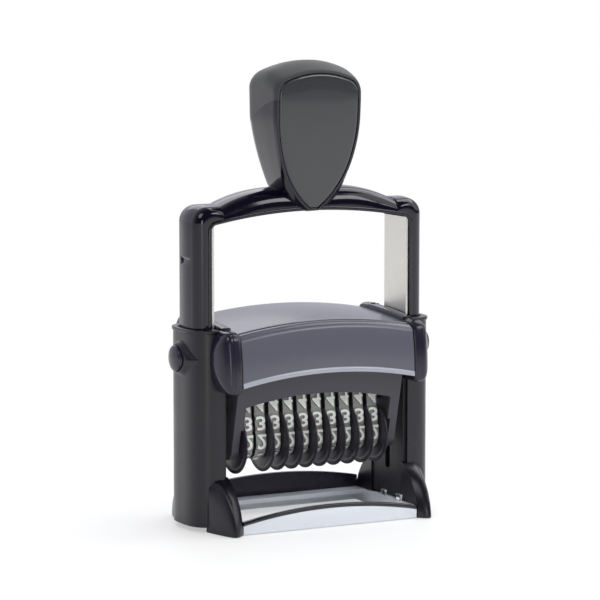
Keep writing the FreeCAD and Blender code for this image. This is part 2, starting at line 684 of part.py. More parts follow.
def arched(face):
    """Turn a side profile about the far axis, so that it arches along X, and trim its ends."""
    angle = math.degrees(math.asin(COVER_HALF / ARCH_RADIUS)) + ARCH_SPARE
    axis = Vector(0, 0, ARCH_AXIS_Z)
    face = face.copy()
    face.rotate(axis, Vector(0, 1, 0), -angle)
    solid = face.revolve(axis, Vector(0, 1, 0), 2 * angle)
    return solid.common(block(-COVER_HALF, COVER_HALF, -FAR, FAR, 0, 2 * FAR))


def cover_shell():
    """Shell of the cover, open below, and the space inside it in flats."""
    outer = Part.Face(cover_outline(side(0)))
    lip, middle, bend_start, _, top_end, _, front_end, _, side_end, front_middle, front_lip = (
        cover_points(-COVER_WALL))
    inner = Part.Face(wire(side(0), front_lip, lip, middle, bend_start, top_end,
                           front_end, side_end, front_middle))
    return arched(outer.cut(inner)), arched(inner)


def ahead_of_parting(shift):
    """Everything in front of the slanted line between cartridge front and top cover."""
    lean = math.radians(PARTING_LEAN)
    step_y, step_z = PARTING_REACH * math.cos(lean), PARTING_REACH * math.sin(lean)
    middle = (shift - COVER_CORNER_Y, COVER_FRONT_Z + COVER_CORNER)
    outer_point = (middle[0] - step_y, middle[1] + step_z)
    inner_point = (middle[0] + step_y, middle[1] - step_z)
    low = COVER_LIP_Z - OVERRUN
    return arched(Part.Face(wire(side(0), outer_point, inner_point, (inner_point[0], low),
                                 (-FAR, low), (-FAR, outer_point[1]))))


def top_cover():
    """Fixed cover: crown, rear skirt, side walls and the rails for the cartridge."""
    shell, inside = cover_shell()
    crown = shell.cut(ahead_of_parting(PARTING_GAP))
    low = TRAY_Z - RAIL_GAP - RAIL_THICK
    wall = block(COVER_HALF - COVER_SIDE_WALL, COVER_HALF, -RAIL_HALF, RAIL_HALF, low, COVER_TOP_Z)
    wall = wall.common(inside)
    rail = block(COVER_HALF - COVER_SIDE_WALL - RAIL_WIDTH, COVER_HALF, -RAIL_HALF, RAIL_HALF,
                 low, TRAY_Z - RAIL_GAP)
    return crown.fuse([wall, rail, mirrored(wall), mirrored(rail)]).removeSplitter()


def tray_block(y0, y1):
    half = COVER_HALF - COVER_SIDE_WALL - RAIL_GAP
    return block(-half, half, y0, y1, TRAY_Z, TRAY_Z + TRAY_THICK)


def cartridge_front():
    """Curved pull-out front with its lip, and the ledge that joins it to the tray."""
    curve = cover_shell()[0].common(ahead_of_parting(0))
    root_y, face_y = LIP_ROOT - COVER_LIP_Y, -COVER_LIP_Y - LIP_STEP
    lip = arched(Part.Face(wire(side(0), (root_y, COVER_LIP_Z), (face_y, COVER_LIP_Z),
                                (face_y, COVER_LIP_Z + LIP_FACE), (root_y, COVER_LIP_Z + LIP_HEIGHT))))
    ledge = tray_block(-COVER_LIP_Y, TRAY_FRONT_Y).common(arched(Part.Face(cover_outline(side(0)))))
    return curve.fuse([lip, ledge]).removeSplitter()


def cartridge_tray():
    """Flat tray that runs on the rails and holds the pad."""
    return tray_block(TRAY_FRONT_Y, TRAY_REAR_Y)


def ink_pad():
    pad = block(-PAD_HALF_X, PAD_HALF_X, -PAD_HALF_Y, PAD_HALF_Y, PAD_Z, TRAY_Z)
    upright = [edge for edge in pad.Edges if edge.BoundBox.ZLength > PAD_THICK - NEAR]
    return pad.makeFillet(PAD_CORNER, upright)


def cheek_section(x, proud, lift, bottom_z):
    """Side profile of a cheek: the cover's end profile, standing proud and lifted at the top."""
    points = [(y, z - COVER_ARCH + lift * (z - COVER_LIP_Z) / (COVER_TOP_Z - COVER_LIP_Z))
              for y, z in cover_points(proud)]
    (lip, middle, bend_start, bend, top_end, top, front_end, front_bend, side_end, front_middle,
     front_lip) = points
    heel = lip[0] - CHEEK_HEEL
    return wire(side(x), (-heel, bottom_z), (heel, bottom_z), lip, (middle, bend_start), (bend, top_end),
                (top, front_end), (front_bend, side_end), (front_middle, front_lip))


def flare_section(x, facing, along, across):
    """Half of the cheek's profile, in front or behind, shrunk toward the column."""
    points = [(facing * y, z - COVER_ARCH + CHEEK_LIFT * (z - COVER_LIP_Z) / (COVER_TOP_Z - COVER_LIP_Z))
              for y, z in cover_points(CHEEK_PROUD)]
    lip, middle, bend_start, bend, top_end = points[:5] if facing > 0 else points[:5:-1]
    low = COVER_LIP_Z - COVER_ARCH - CHEEK_SKIRT
    heel = COLUMN_HALF - 2 * RUN_FIT

    def shrunk(point):
        return (facing * (heel + (point[0] - heel) * along),
                FLARE_CENTRE_Z + (point[1] - FLARE_CENTRE_Z) * across)
    corners = [shrunk(point) for point in ((heel, low), (lip[0] - CHEEK_HEEL, low), lip, middle, bend_start,
                                           bend, top_end, (heel, top_end[1]))]
    return wire(side(x), *corners[:3], (corners[3], corners[4]), (corners[5], corners[6]), corners[7])


def cheek():
    """Right side plate, with noses that flare back to the column at the front and rear."""
    low = COVER_LIP_Z - COVER_ARCH - CHEEK_SKIRT
    proud_share, lift_share = CHEEK_END_SHARES
    body = Part.makeLoft([cheek_section(COVER_END, CHEEK_PROUD * proud_share, CHEEK_LIFT * lift_share,
                                        low + CHEEK_BEVEL),
                          cheek_section(PLATE_OUT, CHEEK_PROUD, CHEEK_LIFT, low)], True, True)
    for facing in (-1, 1):
        sections = [flare_section(PLATE_OUT + CHEEK_FLARE * passed, facing, width, height)
                    for passed, width, height in FLARE_STEPS]
        body = body.fuse(Part.makeLoft(sections, True, True))
    beside = COLUMN_HALF + COLLAR_STEP + RUN_FIT
    room = block(PLATE_IN - RUN_FIT, CHEEK_OUT + OVERRUN, -beside, beside, low - OVERRUN,
                 COLUMN_TOP_Z + RUN_FIT)
    over = block(STRAP_IN - STRAP_GAP, CHEEK_OUT + OVERRUN, -beside, beside, COLUMN_TOP_Z, 2 * FAR)
    return body.cut(room).cut(over).removeSplitter()


def rear_wall():
    """Arched wall between the rear feet."""
    return slab(front, REAR_WALL_Y, REAR_WALL_Y + REAR_WALL_THICK, (-FOOT_IN, 0), (FOOT_IN, 0),
                (FOOT_IN, REAR_WALL_END_Z), ((0, REAR_WALL_TOP_Z), (-FOOT_IN, REAR_WALL_END_Z)))


def ring_plan(z0, z1, half, bulge, front_y, rear_y):
    """Rectangle whose short sides bulge outward between the feet."""
    turn_y = COLUMN_HALF - WINDOW_TURN
    return slab(plan, z0, z1, (-half, front_y), (half, front_y), (half, -turn_y),
                ((half + bulge, 0), (half, turn_y)), (half, rear_y), (-half, rear_y), (-half, turn_y),
                ((-half - bulge, 0), (-half, -turn_y)))


def window_tabs():
    """Two upright tabs on the right side of the window, one ahead of the column, one inside its bulge."""
    ahead_x = WINDOW_HALF + TAB_STEP
    inside_x = PLATE_IN - TAB_GAP
    first_y = -COLUMN_HALF
    low = WINDOW_TOP_Z - BEAD_STEP
    return [block(ahead_x - TAB_THICK, ahead_x, first_y, first_y + TAB_LENGTH, low, TAB_TOP_Z),
            block(inside_x - TAB_THICK, inside_x, 0, INNER_TAB_LENGTH, low, TAB_TOP_Z - BEAD_STEP)]


def positioning_window():
    """Clear ring that stands on the paper: rim, skirt, tabs, arched front wall with its bead."""
    opening_half = WINDOW_HALF - WINDOW_SIDE
    rim = ring_plan(0, WINDOW_TOP_Z, WINDOW_HALF, WINDOW_BULGE, WINDOW_FRONT_Y, WINDOW_REAR_Y)
    rim = rim.cut(ring_plan(-OVERRUN, WINDOW_TOP_Z + OVERRUN, opening_half, WINDOW_BULGE,
                            OPENING_FRONT_Y, OPENING_REAR_Y))
    under_rear = block(-opening_half, opening_half,
                       OPENING_REAR_Y - OVERRUN, WINDOW_REAR_Y - WINDOW_SIDE,
                       -OVERRUN, WINDOW_TOP_Z - WINDOW_WALL)
    under_front = block(-opening_half, opening_half,
                        WINDOW_FRONT_Y + WINDOW_WALL, OPENING_FRONT_Y + OVERRUN,
                        -OVERRUN, WINDOW_TOP_Z - WINDOW_WALL)
    wall = slab(front, WINDOW_FRONT_Y, WINDOW_FRONT_Y + WINDOW_WALL, (-WINDOW_HALF, 0), (WINDOW_HALF, 0),
                (WINDOW_HALF, WINDOW_TOP_Z), ((0, ARCH_TOP_Z), (-WINDOW_HALF, WINDOW_TOP_Z)))
    bead = slab(front, WINDOW_FRONT_Y - BEAD_STEP, WINDOW_FRONT_Y + WINDOW_WALL + BEAD_STEP,
                (-WINDOW_HALF, WINDOW_TOP_Z), ((0, ARCH_TOP_Z), (WINDOW_HALF, WINDOW_TOP_Z)),
                (WINDOW_HALF, WINDOW_TOP_Z - BEAD_HEIGHT),
                ((0, ARCH_TOP_Z - BEAD_HEIGHT), (-WINDOW_HALF, WINDOW_TOP_Z - BEAD_HEIGHT)))
    long_edges = [edge for edge in bead.Edges if edge.Length > WINDOW_HALF]
    bead = bead.makeChamfer(BEAD_CHAMFER, long_edges)
    tabs = window_tabs()
    rim = rim.cut(under_rear).cut(under_front)
    return rim.fuse([wall, bead, *tabs, *map(mirrored, tabs)]).removeSplitter()


def square_spring(centre, axis, start, end, diameter, wire_size, turns):
    """Open coil of square wire between two places along an axis, in half turns."""
    radius = (diameter - wire_size) / 2
    pitch = (abs(end - start) - wire_size) / turns
    half = wire_size / 2

    def on_coil(quarter):
        angle = quarter * math.pi / 2
        return Vector(radius * math.cos(angle), radius * math.sin(angle), half + pitch * quarter / 4)
    path = Part.Wire([Part.Arc(on_coil(q), on_coil(q + 1), on_coil(q + 2)).toShape()
                      for q in range(0, 4 * turns, 2)])
    square = ((-half, -half), (half, -half), (half, half), (-half, half), (-half, -half))
    section = Part.makePolygon([Vector(radius + x, 0, half + z) for x, z in square])
    coil = path.makePipeShell([section], True, False)
    if axis == "x":
        coil.rotate(Vector(0, 0, 0), Vector(0, 1, 0), 90)
        coil.translate(Vector(start, centre[0], centre[1]))
    else:
        coil.translate(Vector(centre[0], centre[1], start))
    return coil


def return_spring():
    """Right return spring, from the housing's floor to the top of the leg's pocket."""
    centre_x = LEG_IN + SPRING_DIAMETER / 2 + SOFT_GAP
    return square_spring((centre_x, 0), "z", COLUMN_FLOOR_Z, POCKET_TOP_Z,
                         SPRING_DIAMETER, SPRING_WIRE, SPRING_TURNS)


def leg_solid():
    """Right leg with its rounded top and the shallow catch in its outer face."""
    bend = BOW_SHOULDER * (1 - math.sqrt(0.5))
    leg = slab(front, -BODY_HALF, BODY_HALF, (BOW_DIP_X, LEG_BOTTOM_Z), (LEG_OUT, LEG_BOTTOM_Z),
               (LEG_OUT, BOW_TOP_Z - BOW_SHOULDER),
               ((LEG_OUT - bend, BOW_TOP_Z - bend), (LEG_OUT - BOW_SHOULDER, BOW_TOP_Z)),
               (BOW_DIP_X, BOW_TOP_Z))
    shoulder_z = BOW_TOP_Z - BOW_SHOULDER
    outer = [edge for edge in leg.Edges if edge.BoundBox.YLength < NEAR
             and (edge.BoundBox.XMin > LEG_OUT - NEAR or edge.BoundBox.ZMin > shoulder_z - NEAR)]
    leg = leg.makeFillet(LEG_ROUND, outer)
    half, flat = NOTCH_HEIGHT / 2, NOTCH_HEIGHT / 2 * NOTCH_FLAT
    notch = slab(front, -NOTCH_HALF, NOTCH_HALF, (LEG_OUT, NOTCH_Z - half),
                 (LEG_OUT + OVERRUN, NOTCH_Z - half), (LEG_OUT + OVERRUN, NOTCH_Z + half),
                 (LEG_OUT, NOTCH_Z + half),
                 (LEG_OUT - NOTCH_DEPTH, NOTCH_Z + flat), (LEG_OUT - NOTCH_DEPTH, NOTCH_Z - flat))
    return leg.cut(notch)


def bar_solid():
    """Bar between the legs, falling away from the saddle, its long edges rounded."""
    end_x = BOW_DIP_X + BAR_OVERLAP

    def fallen(x):
        return (x, SADDLE_Z - BAR_RADIUS + math.sqrt(BAR_RADIUS ** 2 - (abs(x) - SADDLE_HALF) ** 2))
    halfway = (SADDLE_HALF + end_x) / 2
    bar = slab(front, -BODY_HALF, BODY_HALF, (-end_x, BOW_INNER_Z), (end_x, BOW_INNER_Z), fallen(end_x),
               (fallen(halfway), (SADDLE_HALF, SADDLE_Z)), (-SADDLE_HALF, SADDLE_Z),
               (fallen(-halfway), fallen(-end_x)))
    long_edges = [edge for edge in bar.Edges if edge.BoundBox.YLength < NEAR
                  and edge.BoundBox.XLength > NEAR and edge.BoundBox.ZMin > BOW_INNER_Z + NEAR]
    bar = bar.makeFillet(BAR_ROUND, long_edges)
    saddle = block(-SADDLE_HALF, SADDLE_HALF, -BODY_HALF, BODY_HALF, BOW_ARCH_Z + RIM_WIDTH, SADDLE_Z)
    return bar.fuse(saddle)


def opening_bead():
    """Raised bead on the rear face, down both legs and along the arch, its corners rounded."""
    inner_x = LEG_IN - RIM_CORNER
    rise = BOW_ARCH_Z - BOW_INNER_Z
    sweep = (LEG_IN ** 2 + rise ** 2) / (2 * rise)
    inner_z = BOW_ARCH_Z - sweep + math.sqrt(sweep ** 2 - inner_x ** 2)
    bend = RIM_CORNER * (1 - math.sqrt(0.5))
    wide_x, wide_z = LEG_IN + RIM_WIDTH, BOW_INNER_Z + RIM_WIDTH
    return slab(front, LEG_HALF - 2 * RIM_STEP, LEG_HALF, (LEG_IN, LEG_BOTTOM_Z),
                (LEG_IN, BOW_INNER_Z - RIM_CORNER),
                ((LEG_IN - bend, BOW_INNER_Z - bend), (inner_x, inner_z)),
                ((0, BOW_ARCH_Z), (-inner_x, inner_z)),
                ((bend - LEG_IN, BOW_INNER_Z - bend), (-LEG_IN, BOW_INNER_Z - RIM_CORNER)),
                (-LEG_IN, LEG_BOTTOM_Z), (-wide_x, LEG_BOTTOM_Z), (-wide_x, wide_z),
                ((0, BOW_ARCH_Z + RIM_WIDTH), (wide_x, wide_z)), (wide_x, LEG_BOTTOM_Z))


# Handle

def bow():
    """Arch on D-shaped legs: crowned bar with its saddle, a bead round the opening, spring pockets."""
    leg = leg_solid()
    body = bar_solid().fuse([leg, mirrored(leg)])
    below = LEG_BOTTOM_Z - OVERRUN
    opening = slab(front, -LEG_HALF - OVERRUN, LEG_HALF + OVERRUN, (-LEG_IN, below), (LEG_IN, below),
                   (LEG_IN, BOW_INNER_Z), ((0, BOW_ARCH_Z), (-LEG_IN, BOW_INNER_Z)))
    bead = opening_bead()
    body = body.cut(opening).fuse([bead, mirrored(bead, Vector(0, 1, 0))])
    pocket_half = SPRING_DIAMETER / 2 + SOFT_GAP
    pocket = block(LEG_IN, LEG_IN + 2 * pocket_half, -pocket_half, pocket_half, below, POCKET_TOP_Z)
    return body.cut(pocket).cut(mirrored(pocket)).removeSplitter()


def steel_strap():
    """Flat steel strap on the inner face of a leg, with the hole for the pivot pin."""
    strap = block(STRAP_IN, LEG_IN, -STRAP_HALF, STRAP_HALF, LEG_BOTTOM_Z, BOW_INNER_Z)
    return strap.cut(rod(STRAP_IN - OVERRUN, LEG_IN + OVERRUN, 0, PIVOT_Z, PIVOT_RADIUS + RUN_FIT))


def grip_section(y, wide, top, lower_part, inset=0.0):
    """Outline of the grip at one depth: tip or foot, drawn-in lower part, straight side, corner, crown."""
    foot_share, corner_share = INSET_SHARES
    foot_end, foot_bend, low, low_bend, high = [(x - inset * foot_share, z) for x, z in lower_part]
    wide -= inset
    top -= inset
    corner = max(GRIP_CORNER - inset * corner_share, GRIP_LEAST_CORNER)
    crown_z = top - GRIP_CROWN_RADIUS
    corner_x = wide - corner
    corner_z = crown_z + math.sqrt((GRIP_CROWN_RADIUS - corner) ** 2 - corner_x ** 2)
    turn = math.atan2(corner_z - crown_z, corner_x)
    joint = (GRIP_CROWN_RADIUS * math.cos(turn), crown_z + GRIP_CROWN_RADIUS * math.sin(turn))
    bend = (corner_x + corner * math.cos(turn / 2), corner_z + corner * math.sin(turn / 2))

    def left(point):
        return (-point[0], point[1])
    return wire(front(y), foot_end, (foot_bend, low), (low_bend, high), (wide, corner_z), (bend, joint),
                ((0, top), left(joint)), (left(bend), (-wide, corner_z)), left(high),
                (left(low_bend), left(low)), (left(foot_bend), left(foot_end)))


def front_section(y, top):
    """Outline at the front: pointed at the foot, where it lies over the bar."""
    return grip_section(y, GRIP_FRONT_HALF, top, GRIP_FRONT_SIDE)


def rear_section(y, inset=0.0):
    """Outline over the bar: drawn in to a waist, then flaring onto the saddle."""
    return grip_section(y, GRIP_HALF, GRIP_TOP_Z, GRIP_REAR_SIDE, inset)


def grip_solid():
    """Whole grip: leaning face, crowned top, rounded rear."""
    sections = [front_section(GRIP_FACE_Y, GRIP_FRONT_TOP_Z),
                front_section(-BODY_HALF, GRIP_TOP_Z - GRIP_FRONT_FALL),
                rear_section(-BODY_HALF / 2)]
    sections += [rear_section(GRIP_REAR_Y - GRIP_REAR_ROUND * left, inset)
                 for left, inset in GRIP_REAR_STEPS]
    return Part.makeLoft(sections, True, True).cut(ahead_of_face(0))


def ahead_of_face(depth):
    """Everything in front of the face, upright above and leaning below, moved back by a depth."""
    low_z = GRIP_TIP_Z - OVERRUN
    middle = ((GRIP_FACE_Y + FACE_TIP_Y) / 2 - FACE_BOW + depth, (FACE_BEND_Z + low_z) / 2)
    return slab(side, -FAR, FAR, (-FAR, GRIP_TOP_Z), (GRIP_FACE_Y + depth, GRIP_TOP_Z),
                (GRIP_FACE_Y + depth, FACE_BEND_Z), (middle, (FACE_TIP_Y + depth, low_z)), (-FAR, low_z))


def above_seam(lower=0.0):
    """Everything above the curved line between cap and body."""
    front_y, rear_y = GRIP_FACE_Y - SEAM_PAST, GRIP_REAR_Y + SEAM_PAST
    middle_z = (SEAM_FRONT_Z + SEAM_REAR_Z) / 2 + SEAM_BULGE
    return slab(side, -FAR, FAR, (front_y, SEAM_FRONT_Z - lower),
                ((0, middle_z - lower), (rear_y, SEAM_REAR_Z - lower)),
                (rear_y, GRIP_TOP_Z + OVERRUN), (front_y, GRIP_TOP_Z + OVERRUN))


def plate_solid(inset, depth):
    """Front plate's space, cut back evenly from the edge of the grip's face."""
    outline = front_section(GRIP_FACE_Y - OVERRUN, GRIP_FRONT_TOP_Z).makeOffset2D(-inset)
    space = Part.Face(outline).extrude(Vector(0, FAR, 0))
    return space.cut(ahead_of_face(0)).common(ahead_of_face(depth)).cut(on_bar())


def on_bar():
    """Everything behind the bar's front face and bead, below its saddle."""
    bar = block(-BOW_DIP_X, BOW_DIP_X, -BODY_HALF, 2 * LEG_HALF, LEG_BOTTOM_Z, SADDLE_Z)
    return bar.fuse(block(-BOW_DIP_X, BOW_DIP_X, -LEG_HALF, 0, LEG_BOTTOM_Z, BOW_ARCH_Z + RIM_WIDTH))


def face_plate():
    """Smooth front plate, bare."""
    return plate_solid(FACE_INSET, FACE_THICK)


def grip_cap():
    """Soft cap over the top of the grip, wrapping the sides of the plate."""
    return grip_solid().common(above_seam()).cut(plate_solid(FACE_INSET - FACE_GAP, FACE_THICK + FACE_GAP))


def grip_body():
    """Hard lower body of the grip, drawn in to a waist that stands on the saddle of the bow."""
    lower = grip_solid().cut(above_seam(SEAM_GAP)).cut(on_bar())
    lower = lower.cut(plate_solid(FACE_INSET - FACE_GAP, FACE_THICK + FACE_GAP))
    waist_z = GRIP_REAR_SIDE[1][1]
    back_z = SEAM_REAR_Z - GRIP_BACK_DROP
    behind = slab(side, -BOW_DIP_X, BOW_DIP_X, (GRIP_REAR_Y, back_z),
                  ((GRIP_REAR_Y - GRIP_BACK_IN, waist_z + GRIP_BACK_RISE), (BODY_HALF, SADDLE_Z)),
                  (BODY_HALF, LEG_BOTTOM_Z), (FAR, LEG_BOTTOM_Z), (FAR, back_z))
    return lower.cut(behind)


# Release buttons

def release_button():
    """Push button with a bevelled crown, hollow behind for its spring."""
    inner_x = BUTTON_SEAT_X + BUTTON_TRAVEL + BUTTON_SPARE
    crown = Part.makeCone(BUTTON_RADIUS, BUTTON_RADIUS - 2 * BUTTON_DOME, BUTTON_DOME,
                          Vector(BUTTON_RIM_X, 0, BUTTON_Z), Vector(1, 0, 0))
    solid = rod(inner_x, BUTTON_RIM_X, 0, BUTTON_Z, BUTTON_RADIUS).fuse(crown)
    return solid.cut(rod(inner_x, BUTTON_RIM_X - BUTTON_CROWN, 0, BUTTON_Z, BUTTON_RADIUS - BUTTON_WALL))


def button_spring():
    """Spring between the seat in the housing and the crown of the right button."""
    return square_spring((0, BUTTON_Z), "x", BUTTON_SEAT_X, BUTTON_RIM_X - BUTTON_CROWN - RUN_FIT,
                         BUTTON_SPRING_DIAMETER, BUTTON_SPRING_WIRE, BUTTON_SPRING_TURNS)


def main():
    os.makedirs("parts", exist_ok=True)
    save_pair("column", column())
    save_pair("guide_plate", guide_plate())
    save_pair("cheek", cheek())
    save_pair("return_spring", return_spring())
    save_pair("release_button", release_button())
    save_pair("button_spring", button_spring())
    save_pair("steel_strap", steel_strap())
    save("rear_wall", rear_wall())
    save("positioning_window", positioning_window())
    save("top_cover", top_cover())
    save("cartridge_front", cartridge_front())
    save("cartridge_tray", cartridge_tray())
    save("ink_pad", ink_pad())
    save("bow", bow())
    save("grip_body", grip_body())
    save("grip_cap", grip_cap())
    save("face_plate", face_plate())
    save("unit_frame", unit_frame())
    save("platen", platen())
    save("wheel_axle", wheel_axle())
    save("pivot_pins", pivot_pin(), mirrored(pivot_pin()))
    save("cam_pins", cam_pin(), mirrored(cam_pin()))
    for index in range(BAND_COUNT):
        save("number_band_%02d" % (index + 1), number_band(index))
        save("number_wheel_%02d" % (index + 1), number_wheel(index))


main()
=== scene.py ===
"""Look of a ten-band self-inking numbering stamp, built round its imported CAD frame."""

import json
import logging
import math
from dataclasses import dataclass, field
from enum import Enum
from typing import Callable, Iterable, Sequence

import bmesh
import bpy
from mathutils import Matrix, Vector

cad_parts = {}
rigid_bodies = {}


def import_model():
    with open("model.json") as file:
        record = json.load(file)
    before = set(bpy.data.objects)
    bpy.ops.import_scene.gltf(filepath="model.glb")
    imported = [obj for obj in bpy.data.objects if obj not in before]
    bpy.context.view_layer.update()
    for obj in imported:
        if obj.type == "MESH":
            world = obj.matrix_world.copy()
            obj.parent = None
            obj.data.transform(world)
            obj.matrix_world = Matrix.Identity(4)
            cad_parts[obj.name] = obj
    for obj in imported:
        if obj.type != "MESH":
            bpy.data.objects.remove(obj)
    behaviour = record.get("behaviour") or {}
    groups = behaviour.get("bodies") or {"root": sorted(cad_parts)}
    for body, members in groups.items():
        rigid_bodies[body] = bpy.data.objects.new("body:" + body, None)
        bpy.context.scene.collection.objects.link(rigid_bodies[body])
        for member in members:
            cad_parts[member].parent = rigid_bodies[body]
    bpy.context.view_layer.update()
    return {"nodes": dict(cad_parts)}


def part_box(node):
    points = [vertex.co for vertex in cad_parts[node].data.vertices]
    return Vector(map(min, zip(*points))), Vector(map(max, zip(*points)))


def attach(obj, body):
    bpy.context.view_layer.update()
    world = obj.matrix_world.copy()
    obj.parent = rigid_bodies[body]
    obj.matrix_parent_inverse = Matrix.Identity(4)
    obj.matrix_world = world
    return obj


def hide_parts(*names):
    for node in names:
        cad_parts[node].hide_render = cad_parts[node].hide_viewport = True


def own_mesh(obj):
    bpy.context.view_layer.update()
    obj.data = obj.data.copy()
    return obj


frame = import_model()

LOG = logging.getLogger("stamp")
MM = 0.001
IMAGE_SIDE = 600
Point = tuple[float, float, float]
Flat = tuple[float, float]

# Roughness drifts over patches of this length, as handling leaves it.
HANDLED_MM = 9.0
# Edges sharper than this keep their crease on pieces shown as their CAD node.
SHARP_DEGREES = 30.0
# Neighbouring facets flatter than this are merged before the edges are rounded.
FLAT_DEGREES = 0.3
# Sizes of the rings that close a face over its middle, one inside the other.
CLOSING_SHARES = (0.8, 0.6, 0.4, 0.2, 0.03)


# Colour and material helpers

def srgb(code: str) -> tuple[float, float, float, float]:
    """Turn a hex sRGB colour into the linear colour that sockets take.

    Args:
        code: Six hex digits.

    Returns:
        Linear red, green and blue, and full opacity.
    """
    channels = [int(code[k:k + 2], 16) / 255 for k in (0, 2, 4)]
    linear = [c / 12.92 if c <= 0.04045 else ((c + 0.055) / 1.055) ** 2.4 for c in channels]
    return linear[0], linear[1], linear[2], 1.0


def add_node(tree: bpy.types.NodeTree, kind: str, values: dict | None = None,
             links: dict | None = None, **settings: object) -> bpy.types.Node:
    """Add one node, set its properties and sockets, and link it.

    Args:
        tree: Tree that gets the node.
        kind: Node type.
        values: Socket name or index to its value.
        links: Socket name or index to the output socket that feeds it.
        settings: Properties of the node itself.

    Returns:
        The new node.
    """
    node = tree.nodes.new(kind)
    for name, value in settings.items():
        setattr(node, name, value)
    for key, value in (values or {}).items():
        node.inputs[key].default_value = value
    for key, source in (links or {}).items():
        tree.links.new(source, node.inputs[key])
    return node


class Grain(Enum):
    """Kinds of surface detail."""

    ORANGE_PEEL = "orange peel of a polished mould"
    SPARKED = "fine pits of a spark-eroded mould"
    SOFT = "powdery bloom of a soft-touch skin"
    DRAWN = "lines left along the part by drawing or brushing"
    TURNED = "rings left by turning"
    RUBBER = "dull skin of cast rubber"
    FELT = "tangled fibres"


@dataclass(frozen=True)
class Finish:
    """One real material with its process, and how it meets the eye."""

    name: str
    slot: str
    colour: str
    roughness: float
    grain: Grain
    grain_mm: float
    depth_mm: float
    metallic: float = 0.0
    ior: float = 1.5
    coat: float = 0.0
    sheen: float = 0.0
    transmission: float = 0.0
    subsurface_mm: float = 0.0
    subsurface_share: float = 0.3
    roughness_spread: float = 0.06
    second_colour: str | None = None

    def pattern(self, tree: bpy.types.NodeTree) -> bpy.types.NodeSocket:
        """Height of the surface detail, from the object's own coordinates.

        Args:
            tree: Tree of the material.

        Returns:
            Socket with the height, from 0 to 1.
        """
        place = add_node(tree, "ShaderNodeTexCoord").outputs["Object"]
        lined = {Grain.DRAWN: (1.0, 1.0, 0.02), Grain.TURNED: (0.02, 1.0, 1.0)}
        stretch = lined.get(self.grain, (1.0, 1.0, 1.0))
        place = add_node(tree, "ShaderNodeMapping", {"Scale": stretch}, {"Vector": place}).outputs["Vector"]
        scale = 1.0 / (self.grain_mm * MM)
        if self.grain is Grain.SPARKED:
            cells = add_node(tree, "ShaderNodeTexVoronoi", {"Scale": scale}, {"Vector": place},
                             feature="SMOOTH_F1")
            return cells.outputs["Distance"]
        octaves = {Grain.ORANGE_PEEL: 1.0, Grain.FELT: 6.0, Grain.SOFT: 3.0, Grain.RUBBER: 4.0}
        noise = add_node(tree, "ShaderNodeTexNoise", {"Scale": scale, "Detail": octaves.get(self.grain, 2.0)},
                         {"Vector": place})
        return noise.outputs["Fac"]

    def material(self) -> bpy.types.Material:
        """Build the node material, once.

        Returns:
            The material.
        """
        made = bpy.data.materials.get(self.name)
        if made:
            return made
        made = bpy.data.materials.new(self.name)
        made.use_nodes = True
        tree = made.node_tree
        shader = tree.nodes["Principled BSDF"]
        for socket, value in (("Metallic", self.metallic), ("IOR", self.ior), ("Coat Weight", self.coat),
                              ("Sheen Weight", self.sheen), ("Transmission Weight", self.transmission)):
            shader.inputs[socket].default_value = value
        if self.subsurface_mm:
            shader.inputs["Subsurface Weight"].default_value = self.subsurface_share
            shader.inputs["Subsurface Scale"].default_value = self.subsurface_mm * MM
        height = self.pattern(tree)
        bump = add_node(tree, "ShaderNodeBump", {"Strength": 1.0, "Distance": self.depth_mm * MM},
                        {"Height": height})
        tree.links.new(bump.outputs["Normal"], shader.inputs["Normal"])
        handled = add_node(tree, "ShaderNodeTexNoise", {"Scale": 1 / (HANDLED_MM * MM), "Detail": 3.0},
                           {"Vector": add_node(tree, "ShaderNodeTexCoord").outputs["Object"]})
        rough = add_node(tree, "ShaderNodeMapRange",
                         {"To Min": max(self.roughness - self.roughness_spread, 0.02),
                          "To Max": self.roughness + self.roughness_spread},
                         {"Value": handled.outputs["Fac"]})
        tree.links.new(rough.outputs["Result"], shader.inputs["Roughness"])
        if self.second_colour:
            tint = add_node(tree, "ShaderNodeMix", data_type="RGBA")
            ends = [socket for socket in tint.inputs if socket.type == "RGBA"]
            for socket, code in zip(ends, (self.colour, self.second_colour)):
                socket.default_value = srgb(code)
            tree.links.new(height, tint.inputs["Factor"])
            result = next(s for s in tint.outputs if s.type == "RGBA")
            tree.links.new(result, shader.inputs["Base Color"])
        else:
            shader.inputs["Base Color"].default_value = srgb(self.colour)
        return made


